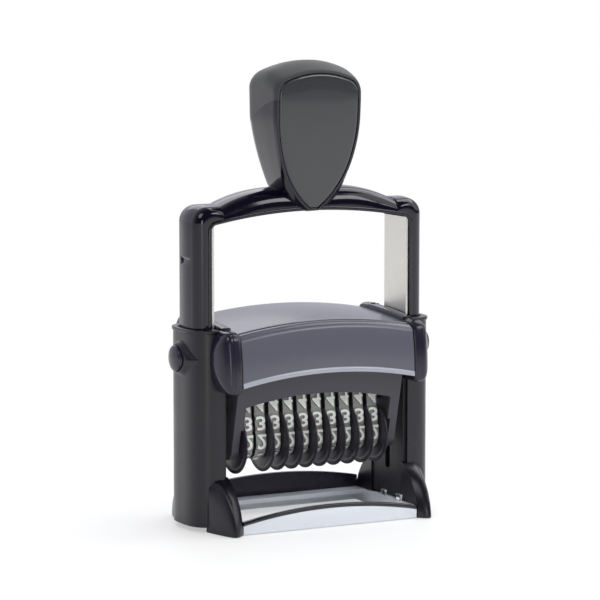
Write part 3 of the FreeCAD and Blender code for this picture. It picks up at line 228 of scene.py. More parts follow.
class Material(Enum):
    """Finishes of the object's pieces."""

    # Moulded grain is about 0.1 mm on the object. It is drawn at 0.25 mm or more, or it would not show.

    # Polished mould, no texture: the eye reads sharp, slightly wavy reflections.
    GLOSS_BLACK = Finish(
        "polished black ABS, moulded", "gloss_black", "0a0716", 0.1,
        Grain.ORANGE_PEEL, 2.4, 0.004, roughness_spread=0.03)
    # Fine spark-eroded mould: black that greys softly where the light grazes it.
    SATIN_BLACK = Finish(
        "satin black ABS, spark-eroded mould", "satin_black", "0c0a15", 0.3, Grain.SPARKED, 0.35, 0.008)
    # The same plastic with a coarser mould, on walls that are seldom seen.
    INNER_BLACK = Finish(
        "dull black ABS, coarse mould", "inner_black", "0c0a14", 0.5, Grain.SPARKED, 0.5, 0.02)
    # Semi-polished mould: cheeks, buttons and rear wall reflect more softly than the bow.
    CHEEK_BLACK = Finish(
        "semi-gloss black ABS, moulded", "cheek_black", "1c1929", 0.22, Grain.ORANGE_PEEL, 1.6, 0.004)
    # Grey ABS from a fine mould: broad soft reflection of the lamp above on the crown.
    COVER_GREY = Finish(
        "grey ABS, fine satin mould", "cover_grey", "51525d", 0.24,
        Grain.SPARKED, 0.3, 0.0025, roughness_spread=0.02)
    # The lip's rolled edge, worn smooth by pulling, painted much lighter than the cover: a painted highlight
    # along the lip.
    LIP_GREY = Finish(
        "grey ABS rolled edge, painted highlight", "cover_grey", "9799a3", 0.16, Grain.ORANGE_PEEL, 1.5, 0.002)
    # Soft-touch rubber over plastic: no highlight, only a pale bloom at the edges.
    SOFT_CAP = Finish(
        "soft-touch rubber skin", "soft_cap", "2a2b2d", 0.72, Grain.SOFT, 0.25, 0.012, sheen=0.25)
    # Lacquered insert: a silky sheen over a dark ground.
    PLATE_GREY = Finish(
        "lacquered silk grey ABS", "plate_grey", "26272b", 0.3, Grain.SPARKED, 0.3, 0.003, coat=0.5)
    # Number unit's frame: matt grey, so that the pale bands stand out.
    FRAME_GREY = Finish(
        "matt grey glass-filled nylon", "frame_grey", "34333b", 0.48, Grain.SPARKED, 0.4, 0.012)
    # Wheels: dull and waxy, so that each thin rim shows as one soft grey line.
    DISC_PLASTIC = Finish(
        "dark grey acetal, moulded", "disc_plastic", "2c2932", 0.36, Grain.SPARKED, 0.3, 0.008)
    # Bands: pale cast rubber, dull, with a skin that lets a little light in.
    BAND_RUBBER = Finish(
        "pale grey vulcanised rubber", "band_rubber", "e0e2de", 0.56,
        Grain.RUBBER, 0.4, 0.01, subsurface_mm=0.4)
    # The same rubber between the characters, painted a darker grey as painted shade of the recesses, so that
    # the characters stand out.
    BAND_FIELD = Finish(
        "vulcanised rubber, painted shade between characters", "band_rubber", "8d8e89", 0.66,
        Grain.RUBBER, 0.4, 0.015, subsurface_mm=0.3)
    # Turned and plated rod: thin bright line with fine rings.
    STEEL = Finish(
        "nickel-plated turned steel", "steel", "b9b8b4", 0.24, Grain.TURNED, 0.2, 0.003, metallic=1.0)
    # Rolled strip: brushed along its length, so reflections smear across.
    STRAP_STEEL = Finish(
        "brushed zinc-plated steel strip", "steel", "d9d7cf", 0.34, Grain.DRAWN, 0.25, 0.003, metallic=1.0)
    # Drawn wire: darker metal with lines along the wire.
    SPRING_STEEL = Finish(
        "drawn spring steel wire", "spring_steel", "8d8e92", 0.3, Grain.DRAWN, 0.15, 0.002, metallic=1.0)
    # Clear moulding: bright edges where it turns away from the eye.
    CLEAR_PLASTIC = Finish(
        "clear moulded styrene acrylonitrile", "clear_plastic", "eef3f8", 0.05,
        Grain.ORANGE_PEEL, 3.0, 0.002, transmission=1.0, ior=1.57, roughness_spread=0.02)
    # The same moulding, painted pale bluish white and letting only a quarter of the light through: painted
    # light that stands in for the lit white floor seen through it.
    CLEAR_WALL = Finish(
        "clear styrene acrylonitrile over white paper", "clear_plastic", "e9eef6", 0.1,
        Grain.ORANGE_PEEL, 3.0, 0.002, ior=1.57, transmission=0.25, roughness_spread=0.03)
    # The clear moulding's thick bead, painted near black and opaque: a painted dark reflection of the frame
    # behind it.
    CLEAR_EDGE = Finish(
        "clear styrene acrylonitrile bead, painted dark reflection", "clear_plastic", "17171d", 0.07,
        Grain.ORANGE_PEEL, 3.0, 0.002, ior=1.57, roughness_spread=0.02)
    # Sides of the bands and walls of the characters, painted near black: painted shade in the gaps between
    # bands and round each character.
    BAND_SIDE = Finish(
        "vulcanised rubber, painted shade on sides", "band_rubber", "2a2830", 0.6, Grain.RUBBER, 0.4, 0.01)
    # Pad: felt soaked with black ink, almost no highlight.
    PAD_FELT = Finish(
        "ink-soaked wool felt", "pad_felt", "191820", 0.85,
        Grain.FELT, 0.6, 0.15, sheen=0.1, second_colour="2b2a35")

    @property
    def finish(self) -> Finish:
        """The finish behind the name."""
        return self.value

    def dress(self, piece: bpy.types.Object) -> bpy.types.Object:
        """Put this finish on a piece."""
        piece.data.materials.clear()
        piece.data.materials.append(self.finish.material())
        return piece


def paint_shade_on(piece: bpy.types.Object, material: Material, faces: Iterable[int]) -> None:
    """Put a second finish on some faces: here the dark rubber that is painted shade.

    Args:
        piece: Dressed piece.
        material: Finish for the faces.
        faces: Numbers of the faces.
    """
    piece.data.materials.append(material.finish.material())
    for face in faces:
        piece.data.polygons[face].material_index = 1


def link(name: str, mesh: bpy.types.Mesh) -> bpy.types.Object:
    """Put a mesh in the scene as a named piece."""
    piece = bpy.data.objects.new(name, mesh)
    bpy.context.collection.objects.link(piece)
    return piece


def shade(mesh: bpy.types.Mesh, degrees: float = 32.0) -> None:
    """Shade a mesh smooth, but for edges sharper than an angle."""
    mesh.shade_smooth()
    mesh.set_sharp_from_angle(angle=math.radians(degrees))


def solid(name: str, points: Sequence[Point], faces: Sequence[Sequence[int]],
          degrees: float = 32.0) -> bpy.types.Object:
    """Make a piece of points in millimetres.

    Args:
        name: Piece's name.
        points: Corners in millimetres.
        faces: Corner numbers of each face.
        degrees: Edges sharper than this stay sharp.

    Returns:
        The piece.
    """
    mesh = bpy.data.meshes.new(name)
    mesh.from_pydata([tuple(c * MM for c in p) for p in points], [], [tuple(f) for f in faces])
    work = bmesh.new()
    work.from_mesh(mesh)
    bmesh.ops.remove_doubles(work, verts=work.verts, dist=1e-6)
    bmesh.ops.recalc_face_normals(work, faces=work.faces)
    work.to_mesh(mesh)
    work.free()
    shade(mesh, degrees)
    return link(name, mesh)


def skin(name: str, rings: Sequence[Sequence[Point]], degrees: float = 32.0,
         looped: bool = False) -> bpy.types.Object:
    """Stretch a skin over closed rings of equal count, and close both ends.

    Args:
        name: Piece's name.
        rings: Closed rings of points in millimetres, one after the other.
        degrees: Edges sharper than this stay sharp.
        looped: Join the last ring to the first instead.

    Returns:
        The piece.
    """
    count = len(rings[0])
    points = [p for ring in rings for p in ring]
    steps = len(rings) if looped else len(rings) - 1
    faces = [(a * count + k, a * count + (k + 1) % count,
              (a + 1) % len(rings) * count + (k + 1) % count, (a + 1) % len(rings) * count + k)
             for a in range(steps) for k in range(count)]
    if not looped:
        faces += [tuple(range(count)), tuple(range((len(rings) - 1) * count, len(rings) * count))]
    return solid(name, points, faces, degrees)


def soften(piece: bpy.types.Object, width_mm: float, segments: int = 3,
           degrees: float = 30.0) -> bpy.types.Object:
    """Round the sharp edges of a piece as a mould would.

    Args:
        piece: Piece to round.
        width_mm: Width of the rounding.
        segments: Facets across it.
        degrees: Edges sharper than this are rounded.

    Returns:
        The piece.
    """
    bevel = piece.modifiers.new("rounded edges", "BEVEL")
    bevel.width = width_mm * MM
    bevel.segments = segments
    bevel.limit_method = "ANGLE"
    bevel.angle_limit = math.radians(degrees)
    return piece


def smooth_group() -> bpy.types.NodeTree:
    """Geometry nodes that shade a mesh smooth but for its sharp edges.

    Returns:
        The node group, made once.
    """
    made = bpy.data.node_groups.get("smooth by angle")
    if made:
        return made
    made = bpy.data.node_groups.new("smooth by angle", "GeometryNodeTree")
    made.interface.new_socket("Geometry", in_out="INPUT", socket_type="NodeSocketGeometry")
    made.interface.new_socket("Geometry", in_out="OUTPUT", socket_type="NodeSocketGeometry")
    entry = add_node(made, "NodeGroupInput")
    faces = add_node(made, "GeometryNodeSetShadeSmooth", {"Shade Smooth": True},
                     {"Geometry": entry.outputs["Geometry"]}, domain="FACE")
    angle = add_node(made, "GeometryNodeInputMeshEdgeAngle")
    sharp = add_node(made, "FunctionNodeCompare", {"B": math.radians(SHARP_DEGREES)},
                     {"A": angle.outputs["Unsigned Angle"]}, data_type="FLOAT", operation="GREATER_THAN")
    edges = add_node(made, "GeometryNodeSetShadeSmooth", {"Shade Smooth": False},
                     {"Geometry": faces.outputs["Geometry"], "Selection": sharp.outputs["Result"]},
                     domain="EDGE")
    add_node(made, "NodeGroupOutput", links={"Geometry": edges.outputs["Geometry"]})
    return made


def finish_node(node: str, material: Material, width_mm: float = 0.0) -> bpy.types.Object:
    """Dress a piece that is shown as its CAD node, with merged facets and rounded edges.

    Args:
        node: CAD node's name.
        material: Finish.
        width_mm: Width of the rounding, none if zero.

    Returns:
        The CAD node's object.
    """
    piece = frame["nodes"][node]
    material.dress(piece)
    if width_mm:
        merge = piece.modifiers.new("merged facets", "DECIMATE")
        merge.decimate_type = "DISSOLVE"
        merge.angle_limit = math.radians(FLAT_DEGREES)
        soften(piece, width_mm, 2)
    smooth = piece.modifiers.new("smooth", "NODES")
    smooth.node_group = smooth_group()
    return piece


# Outlines

def arc(start: Flat, via: Flat, end: Flat, steps: int) -> list[Flat]:
    """Points along the circle through three points, without the first.

    Args:
        start: First point.
        via: Point passed on the way.
        end: Last point.
        steps: Number of points returned.

    Returns:
        Points up to the last one.
    """
    (ax, ay), (bx, by), (cx, cy) = start, via, end
    twice = 2 * (ax * (by - cy) + bx * (cy - ay) + cx * (ay - by))
    if abs(twice) < 1e-9:
        return [(ax + (cx - ax) * k / steps, ay + (cy - ay) * k / steps) for k in range(1, steps + 1)]
    sa, sb, sc = ax * ax + ay * ay, bx * bx + by * by, cx * cx + cy * cy
    mx = (sa * (by - cy) + sb * (cy - ay) + sc * (ay - by)) / twice
    my = (sa * (cx - bx) + sb * (ax - cx) + sc * (bx - ax)) / twice
    radius = math.hypot(ax - mx, ay - my)
    first = math.atan2(ay - my, ax - mx)
    middle = (math.atan2(by - my, bx - mx) - first) % math.tau
    whole = (math.atan2(cy - my, cx - mx) - first) % math.tau
    if middle > whole:
        whole -= math.tau
    turns = [first + whole * k / steps for k in range(1, steps + 1)]
    return [(mx + radius * math.cos(a), my + radius * math.sin(a)) for a in turns]


def trace(start: Flat, *legs: tuple, steps: int = 8) -> list[Flat]:
    """Follow lines and arcs.

    Args:
        start: First point.
        legs: A point for a line, or a pair of points for an arc by way of the first to the second.
        steps: Points along each leg.

    Returns:
        Points, the first included.
    """
    found = [start]
    for leg in legs:
        if isinstance(leg[0], tuple):
            found += arc(found[-1], leg[0], leg[1], steps)
        else:
            x0, y0 = found[-1]
            found += [(x0 + (leg[0] - x0) * k / steps, y0 + (leg[1] - y0) * k / steps)
                      for k in range(1, steps + 1)]
    return found


def evenly(path: Sequence[Flat], count: int) -> list[Flat]:
    """Share out points evenly along an open path.

    Args:
        path: Points of the path.
        count: Number of points wanted.

    Returns:
        The new points, both ends kept.
    """
    reach = [0.0]
    for (x0, y0), (x1, y1) in zip(path, path[1:]):
        reach.append(reach[-1] + math.hypot(x1 - x0, y1 - y0))
    found, k = [], 0
    for step in range(count):
        wanted = reach[-1] * step / (count - 1)
        while k < len(path) - 2 and reach[k + 1] < wanted:
            k += 1
        span = reach[k + 1] - reach[k] or 1.0
        share = (wanted - reach[k]) / span
        found.append((path[k][0] + (path[k + 1][0] - path[k][0]) * share,
                      path[k][1] + (path[k + 1][1] - path[k][1]) * share))
    return found


def drawn_in(path: Sequence[Flat], distance: float, closed: bool = True) -> list[Flat]:
    """Move an outline that runs counter-clockwise inward by a distance.

    Args:
        path: Points of the outline.
        distance: How far inward.
        closed: Join the last point to the first.

    Returns:
        The moved points.
    """
    found = []
    count = len(path)
    for k, (x, y) in enumerate(path):
        before = path[k - 1] if closed or k else path[k]
        after = path[(k + 1) % count] if closed or k < count - 1 else path[k]
        dx0, dy0, dx1, dy1 = x - before[0], y - before[1], after[0] - x, after[1] - y
        n0, n1 = math.hypot(dx0, dy0), math.hypot(dx1, dy1)
        nx = (-dy0 / n0 if n0 else 0.0) + (-dy1 / n1 if n1 else 0.0)
        ny = (dx0 / n0 if n0 else 0.0) + (dx1 / n1 if n1 else 0.0)
        size = math.hypot(nx, ny) or 1.0
        both = (1 if n0 else 0) + (1 if n1 else 0)
        reach = distance * both / max(size, 0.7 * both)
        found.append((x + nx / size * reach, y + ny / size * reach))
    return found


def mix(a: float, b: float, share: float) -> float:
    """Value between two, by share."""
    return a + (b - a) * share


def ease(low: float, high: float, value: float) -> float:
    """Smooth step from 0 at low to 1 at high."""
    share = min(max((value - low) / (high - low), 0.0), 1.0)
    return share * share * (3 - 2 * share)


# Number unit

@dataclass
class BandPath:
    """Closed path of a number band round its drum and the printing edge, in millimetres."""

    drum: Point = (-2.5, 28.5, 4.6)
    edge_front: Point = (-1.6, 59.2, 1.0)
    edge_rear: Point = (7.4, 59.2, 1.0)
    thickness: float = 1.8
    cells: int = 15

    def pieces(self) -> list[tuple[float, Point, Point, float, float]]:
        """Arcs and lines of the inner face, counter-clockwise from the drum.

        Returns:
            For each: length along the middle, first and last circle, first and last facing angle.
        """
        circles = [self.drum, self.edge_rear, self.edge_front]
        facing = []
        for (y0, z0, r0), (y1, z1, r1) in zip(circles, circles[1:] + circles[:1]):
            heading = math.atan2(z1 - z0, y1 - y0)
            facing.append(heading - math.acos((r0 - r1) / math.hypot(y1 - y0, z1 - z0)))
        found = []
        middle = self.thickness / 2
        for k, circle in enumerate(circles):
            first, last = facing[k - 1], facing[k]
            while last < first:
                last += math.tau
            found.append(((circle[2] + middle) * (last - first), circle, circle, first, last))
            y0, z0, r0 = circle
            y1, z1, r1 = circles[(k + 1) % len(circles)]
            run = math.hypot(y1 - y0 + (r1 - r0) * math.cos(last), z1 - z0 + (r1 - r0) * math.sin(last))
            found.append((run, circle, circles[(k + 1) % len(circles)], last, last))
        return found

    def length(self) -> float:
        """Length along the middle of the band."""
        return sum(piece[0] for piece in self.pieces())

    def pitch(self) -> float:
        """Length of one cell with its groove."""
        return self.length() / self.cells

    def printing_middle(self) -> float:
        """Distance from the start of the path to the middle of the printing edge."""
        lengths = [piece[0] for piece in self.pieces()]
        return sum(lengths[:3]) + lengths[3] / 2

    def at(self, distance: float, height: float) -> Flat:
        """Point over the inner face.

        Args:
            distance: Distance along the middle of the band.
            height: Height over the inner face.

        Returns:
            Y and Z.
        """
        distance %= self.length()
        for run, start, end, first, last in self.pieces():
            if distance <= run:
                break
            distance -= run
        share = distance / run
        y, z, r = (a + share * (b - a) for a, b in zip(start, end))
        angle = first + share * (last - first)
        return y + (r + height) * math.cos(angle), z + (r + height) * math.sin(angle)


@dataclass
class NumberRow:
    """Ten rubber number bands, each driven by a wheel with a finely knurled thumb disc."""

    path: BandPath = field(default_factory=BandPath)
    count: int = 10
    band_width: float = 4.45
    disc_thickness: float = 0.8
    side_gap: float = 0.15
    pair_gap: float = 0.65
    row_centre: float = -0.3
    field_height: float = 1.3
    groove_height: float = 1.0
    groove_width: float = 0.8
    edge_radius: float = 0.22
    digit_width: float = 3.5
    digit_length: float = 4.9
    digit_root: float = 0.2
    narrow_share: float = 0.55
    first_cell: int = -1
    middle_digit: int = 8
    disc_radius: float = 10.7
    disc_boss: float = 2.6
    dish_from: float = 2.2
    dish_to: float = 1.3
    dish_depth: float = 0.12
    chamfer: Flat = (0.15, 0.6)
    teeth: int = 128
    tooth_depth: float = 0.45
    side_inset: float = 0.22
    hub_radius: float = 4.3
    hub_sides: int = 6
    bore_radius: float = 1.55

    def band_start(self, index: int) -> float:
        """Left edge of a band in X.

        Args:
            index: Place in the row, from the left.

        Returns:
            X in millimetres.
        """
        length = (self.count * (self.band_width + self.disc_thickness)
                  + (2 * self.count - 2) * self.side_gap + self.pair_gap)
        first = self.row_centre - length / 2 + self.disc_thickness + self.side_gap
        if index == 0:
            return first
        pitch = self.band_width + self.disc_thickness + 2 * self.side_gap
        return first + self.band_width + self.pair_gap + (index - 1) * pitch

    def disc_start(self, index: int) -> float:
        """Left face of a thumb disc in X."""
        band = self.band_start(index)
        beside = band + self.band_width + self.side_gap
        return beside if index else band - self.side_gap - self.disc_thickness

    def belt(self, index: int) -> bpy.types.Object:
        """Loop of one band with its cells, grooves and rounded edges.

        Args:
            index: Place in the row, from the left.

        Returns:
            The band's base.
        """
        left, wide = self.band_start(index) + self.side_inset, self.band_width - 2 * self.side_inset
        pitch, radius = self.path.pitch(), self.edge_radius
        start = self.path.printing_middle() - pitch / 2
        half = self.groove_width / 2
        top, low = self.field_height, self.groove_height
        stations: list[tuple[float, float]] = []
        for cell in range(self.path.cells):
            near = start + cell * pitch
            stations += [(near, low), (near + half - radius, low), (near + half, low + radius * 0.4),
                         (near + half + radius * 0.5, top - radius * 0.4), (near + half + radius * 1.6, top)]
            span = pitch - self.groove_width
            stations += [(near + half + span * share, top) for share in (0.2, 0.35, 0.5, 0.65, 0.8)]
            far = near + pitch
            stations += [(far - half - radius * 1.6, top), (far - half - radius * 0.5, top - radius * 0.4),
                         (far - half, low + radius * 0.4), (far - half + radius, low)]
        rings = []
        for distance, height in stations:
            section = [(0.0, 0.0), (wide, 0.0), (wide, height - radius),
                       (wide - radius * 0.3, height - radius * 0.3), (wide - radius, height),
                       (radius, height), (radius * 0.3, height - radius * 0.3), (0.0, height - radius)]
            rings.append([(left + x, *self.path.at(distance, h)) for x, h in section])
        belt = skin(f"band_{index + 1:02d}_belt", rings, 40.0, looped=True)
        # The whole belt takes the darker field rubber: painted shade between the raised characters.
        Material.BAND_FIELD.dress(belt)
        # The band's side faces take the dark rubber: painted shade in the gaps between the bands.
        sides = [face.index for face in belt.data.polygons if face.index % 8 in (1, 2, 6, 7)]
        paint_shade_on(belt, Material.BAND_SIDE, sides)
        return belt

    def digit(self, character: str) -> tuple[list[tuple[float, float, bool]], list[tuple[int, ...]]]:
        """Outline mesh of a character, centred, in the size of a cell.

        Args:
            character: The character.

        Returns:
            Points as (across, along, upper side) and the faces.
        """
        text = bpy.data.curves.new("character", "FONT")
        text.body = character
        text.resolution_u = 3
        text.extrude = 0.5
        text.offset = 0.02
        text.bevel_depth = 0.0
        holder = bpy.data.objects.new("character", text)
        bpy.context.collection.objects.link(holder)
        shown = holder.evaluated_get(bpy.context.evaluated_depsgraph_get())
        mesh = bpy.data.meshes.new_from_object(shown)
        bpy.data.objects.remove(holder)
        bpy.data.curves.remove(text)
        xs, ys = [v.co.x for v in mesh.vertices], [v.co.y for v in mesh.vertices]
        wide = self.narrow_share * self.digit_width if character == "1" else self.digit_width
        across, along = wide / (max(xs) - min(xs)), self.digit_length / (max(ys) - min(ys))
        middle_x, middle_y = (max(xs) + min(xs)) / 2, (max(ys) + min(ys)) / 2
        points = [((v.co.x - middle_x) * across, (v.co.y - middle_y) * along, v.co.z > 0)
                  for v in mesh.vertices]
        faces = [tuple(p.vertices) for p in mesh.polygons]
        bpy.data.meshes.remove(mesh)
        return points, faces

    def characters(self, index: int, outlines: dict[str, tuple]) -> bpy.types.Object:
        """Raised characters of one band, reversed for printing.

        Args:
            index: Place in the row, from the left.
            outlines: Outline meshes by character.

        Returns:
            The characters, bent along the band.
        """
        middle_x = self.band_start(index) + self.band_width / 2
        pitch = self.path.pitch()
        points: list[Point] = []
        faces: list[tuple[int, ...]] = []
        tops: list[bool] = []
        for cell in range(self.first_cell, self.first_cell + len(outlines)):
            centre = self.path.printing_middle() + cell * pitch
            shape, shape_faces = outlines[str(self.middle_digit - cell)]
            base = len(points)
            for across, along, upper in shape:
                height = self.path.thickness if upper else self.field_height - self.digit_root
                y, z = self.path.at(centre + along, height)
                points.append((middle_x + across, y, z))
            faces += [tuple(base + v for v in f) for f in shape_faces]
            tops += [all(shape[v][2] for v in f) for f in shape_faces]
        raised = solid(f"band_{index + 1:02d}_characters", points, faces, 40.0)
        Material.BAND_RUBBER.dress(raised)
        # The characters' walls take the dark rubber: painted shade that outlines each character.
        paint_shade_on(raised, Material.BAND_SIDE, [k for k, is_top in enumerate(tops) if not is_top])
        return raised

    def wheel(self, index: int) -> bpy.types.Object:
        """Thumb disc with fine teeth, a chamfered rim and its six-sided drum.

        Args:
            index: Place in the row, from the left.

        Returns:
            The wheel.
        """
        y0, z0, _ = self.path.drum
        disc, band = self.disc_start(index), self.band_start(index)
        corners = ((0.0, 0.0), (0.3, 0.0), (0.5, self.tooth_depth), (0.8, self.tooth_depth))
        marks = [(math.tau * (tooth + share) / self.teeth, depth)
                 for tooth in range(self.teeth) for share, depth in corners]

        def ring(x: float, drop: float) -> list[Point]:
            """Toothed outline of the rim at a place along the axle, drawn in by a distance."""
            reach = self.disc_radius - drop
            return [(x, y0 + (reach - depth) * math.cos(a), z0 + (reach - depth) * math.sin(a))
                    for a, depth in marks]

        def flat(x: float, radius: float) -> list[Point]:
            """Plain circle with as many points as the toothed outline."""
            turns = [math.tau * k / (4 * self.teeth) for k in range(4 * self.teeth)]
            return [(x, y0 + radius * math.cos(a), z0 + radius * math.sin(a)) for a in turns]

        thick, far, (along, drop) = self.disc_thickness, disc + self.disc_thickness, self.chamfer
        boss, outer_dish = self.disc_radius - self.disc_boss, self.disc_radius - self.dish_to
        inner_dish = self.disc_radius - self.dish_from
        rings = [flat(disc, self.bore_radius), flat(disc, boss),
                 flat(disc + self.dish_depth, inner_dish), flat(disc + self.dish_depth, outer_dish),
                 ring(disc, drop), ring(disc + along, 0.0), ring(disc + thick - along, 0.0), ring(far, drop),
                 flat(disc + thick - self.dish_depth, outer_dish),
                 flat(disc + thick - self.dish_depth, inner_dish), flat(far, boss),
                 flat(far, self.bore_radius)]
        rim = skin(f"thumb_wheel_{index + 1:02d}", rings, 35.0, looped=True)
        start = min(band, disc)
        end = start + self.band_width + self.side_gap + thick
        sides = [math.tau * (k + 0.5 * share) / self.hub_sides
                 for k in range(self.hub_sides) for share in (0, 1)]
        corner = self.hub_radius * math.cos(math.pi / self.hub_sides)
        outer, bore = (self.hub_radius, corner) * self.hub_sides, (self.bore_radius,) * len(sides)
        drum = [[(x, y0 + r * math.cos(a), z0 + r * math.sin(a)) for a, r in zip(sides, reach)]
                for x, reach in ((start, outer), (end, outer), (end, bore), (start, bore))]
        hub = skin(f"wheel_{index + 1:02d}_drum", drum, 30.0, looped=True)
        hub.parent = rim
        return rim

    def build(self) -> list[bpy.types.Object]:
        """Build and dress the whole row.

        Returns:
            The pieces of the row.
        """
        outlines = {str(k): self.digit(str(k)) for k in range(10)}
        made = []
        for index in range(self.count):
            belt, characters = self.belt(index), self.characters(index, outlines)
            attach(belt, "number_unit")
            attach(characters, "number_unit")
            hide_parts(f"number_band_{index + 1:02d}")
            wheel = self.wheel(index)
            Material.DISC_PLASTIC.dress(wheel)
            for child in wheel.children:
                Material.DISC_PLASTIC.dress(child)
            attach(wheel, f"wheel_{index + 1:02d}")
            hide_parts(f"number_wheel_{index + 1:02d}")
            made += [belt, characters, wheel]
        return made


# Handle

@dataclass
class Bow:
    """Glossy arch on two D-shaped legs, with a raised bead round the opening."""

    leg_in: float = 0.0
    leg_out: float = 0.0
    half: float = 8.0
    leg_round: float = 4.0
    bottom_z: float = 34.0
    inner_z: float = 104.4
    arch_z: float = 108.3
    top_z: float = 111.4
    shoulder: float = 6.0
    dip_x: float = 0.0
    dip_back: float = 10.9
    saddle_half: float = 11.5
    saddle_z: float = 116.3
    bar_radius: float = 52.0
    bar_round: float = 4.3
    pocket_top: float = 80.06
    pocket_half: float = 2.7
    pocket_near: float = 0.12
    pocket_far: float = 5.3
    notch_z: float = 92.2
    notch_half: float = 3.6
    notch_depth: float = 0.6
    notch_floor: float = 0.4
    notch_rise: float = 1.35
    inner_flat: float = 1.2
    slope_reach: float = 6.2
    outer_swell: float = 0.4
    bead_width: float = 1.3
    bead_step: float = 0.3
    bead_corner: float = 1.5

    def __post_init__(self) -> None:
        """Take the legs' place from the CAD frame."""
        self.leg_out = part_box("bow")[1][0] / MM
        self.leg_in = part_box("right_steel_strap")[1][0] / MM
        self.dip_x = self.leg_out - self.dip_back

    def underside(self, x: float) -> float:
        """Height of the arched underside."""
        rise = self.arch_z - self.inner_z
        sweep = (self.leg_in ** 2 + rise ** 2) / (2 * rise)
        return self.arch_z - sweep + math.sqrt(sweep ** 2 - min(abs(x), self.leg_in) ** 2)

    def bar_top(self, x: float) -> float:
        """Height of the bar's crown."""
        away = max(abs(x) - self.saddle_half, 0.0)
        return self.saddle_z - self.bar_radius + math.sqrt(self.bar_radius ** 2 - away ** 2)

    def section(self, inner: Flat, outer: Flat, radius: float, sunk: float = 0.0,
                sloped: bool = False) -> list[Point]:
        """Ring across the bow: flat inside, rounded outer edges.

        Args:
            inner: X and Z on the opening's side.
            outer: X and Z on the outer side.
            radius: Rounding of the outer edges.
            sunk: Depth of the catch in the middle of the outer face.
            sloped: Stretch the rounding down the face, as on the bar.

        Returns:
            The ring.
        """
        span = math.hypot(outer[0] - inner[0], outer[1] - inner[1])
        fall = max(radius, min(span - self.inner_flat, self.slope_reach)) if sloped else radius
        profile: list[tuple[float, float]] = [(0.0, -self.half)]
        profile += [((span - fall) * share, -self.half) for share in (0.35, 0.7, 1.0)]
        quarter = [math.radians(a) for a in range(9, 90, 9)]
        flat = self.half - radius
        edge = min(self.notch_half, flat - 0.2)
        swell = self.outer_swell
        low, rise = span - fall, fall - swell
        profile += [(low + rise * math.sin(a), -self.half + radius * (1 - math.cos(a))) for a in quarter]
        crown = [(-flat, 0.0), (-edge, 0.0), (-edge + 0.08, sunk), (-edge / 2, sunk), (0.0, sunk),
                 (edge / 2, sunk), (edge - 0.08, sunk), (edge, 0.0), (flat, 0.0)]
        profile += [(span - deep - swell * (y / flat) ** 2, y) for y, deep in crown]
        profile += [(low + rise * math.cos(a), flat + radius * math.sin(a)) for a in quarter]
        profile += [((span - fall) * share, self.half) for share in (1.0, 0.7, 0.35)]
        profile.append((0.0, self.half))
        return [(mix(inner[0], outer[0], u / span), y, mix(inner[1], outer[1], u / span))
                for u, y in profile]

    def right_rings(self) -> list[list[Point]]:
        """Rings from the middle of the bar to the bottom of the right leg.

        Returns:
            The rings, the last two up into the spring's pocket.
        """
        steps = 22
        along = [0.0, 4.0, 8.0, self.saddle_half]
        along += [mix(self.saddle_half, self.dip_x, k / steps) for k in range(steps + 1)]
        rings = [self.section((x, self.underside(x)), (x, self.bar_top(x)), self.bar_round, sloped=True)
                 for x in along]
        crease = self.dip_x
        for x, z in ((crease, self.top_z - 0.3), (crease + 0.3, self.top_z)):
            rings.append(self.section((x, self.underside(x)), (x, z), self.leg_round))
        corner = (self.leg_out - self.shoulder, self.top_z - self.shoulder)
        turns = 14
        for k in range(turns + 1):
            angle = math.pi / 2 * (1 - k / turns)
            outer = (corner[0] + self.shoulder * math.cos(angle),
                     corner[1] + self.shoulder * math.sin(angle))
            x = mix(crease + 1.0, self.leg_in, min(k / (turns * 0.5), 1.0))
            drop = max(k / turns - 0.5, 0.0) * 2
            inner = (x, mix(self.underside(x), corner[1] - 1.2, drop))
            rings.append(self.section(inner, outer, self.leg_round))
        catch = self.notch_z
        stops = [(100.0, 0.0), (96.0, 0.0), (catch + self.notch_rise, 0.0),
                 (catch + self.notch_floor, self.notch_depth), (catch - self.notch_floor, self.notch_depth),
                 (catch - self.notch_rise, 0.0), (84.0, 0.0), (70.0, 0.0), (52.0, 0.0), (self.bottom_z, 0.0)]
        rings += [self.section((self.leg_in, z), (self.leg_out, z), self.leg_round, sunk)
                  for z, sunk in stops]
        count = len(rings[0])
        half = self.pocket_half
        near, far = self.leg_in + self.pocket_near, self.leg_in + self.pocket_far
        box = trace((near, -half), (far, -half), (far, half), (near, half), (near, -half), steps=12)[:-1]
        pocket = evenly(box, count)
        rings.append([(x, y, self.bottom_z) for x, y in pocket])
        rings.append([(x, y, self.pocket_top) for x, y in pocket])
        return rings

    def body(self) -> bpy.types.Object:
        """Arch and legs in one skin.

        Returns:
            The bow.
        """
        right = self.right_rings()
        left = [[(-x, y, z) for x, y, z in ring] for ring in right[1:]]
        return skin("bow_arch", left[::-1] + right, 30.0)

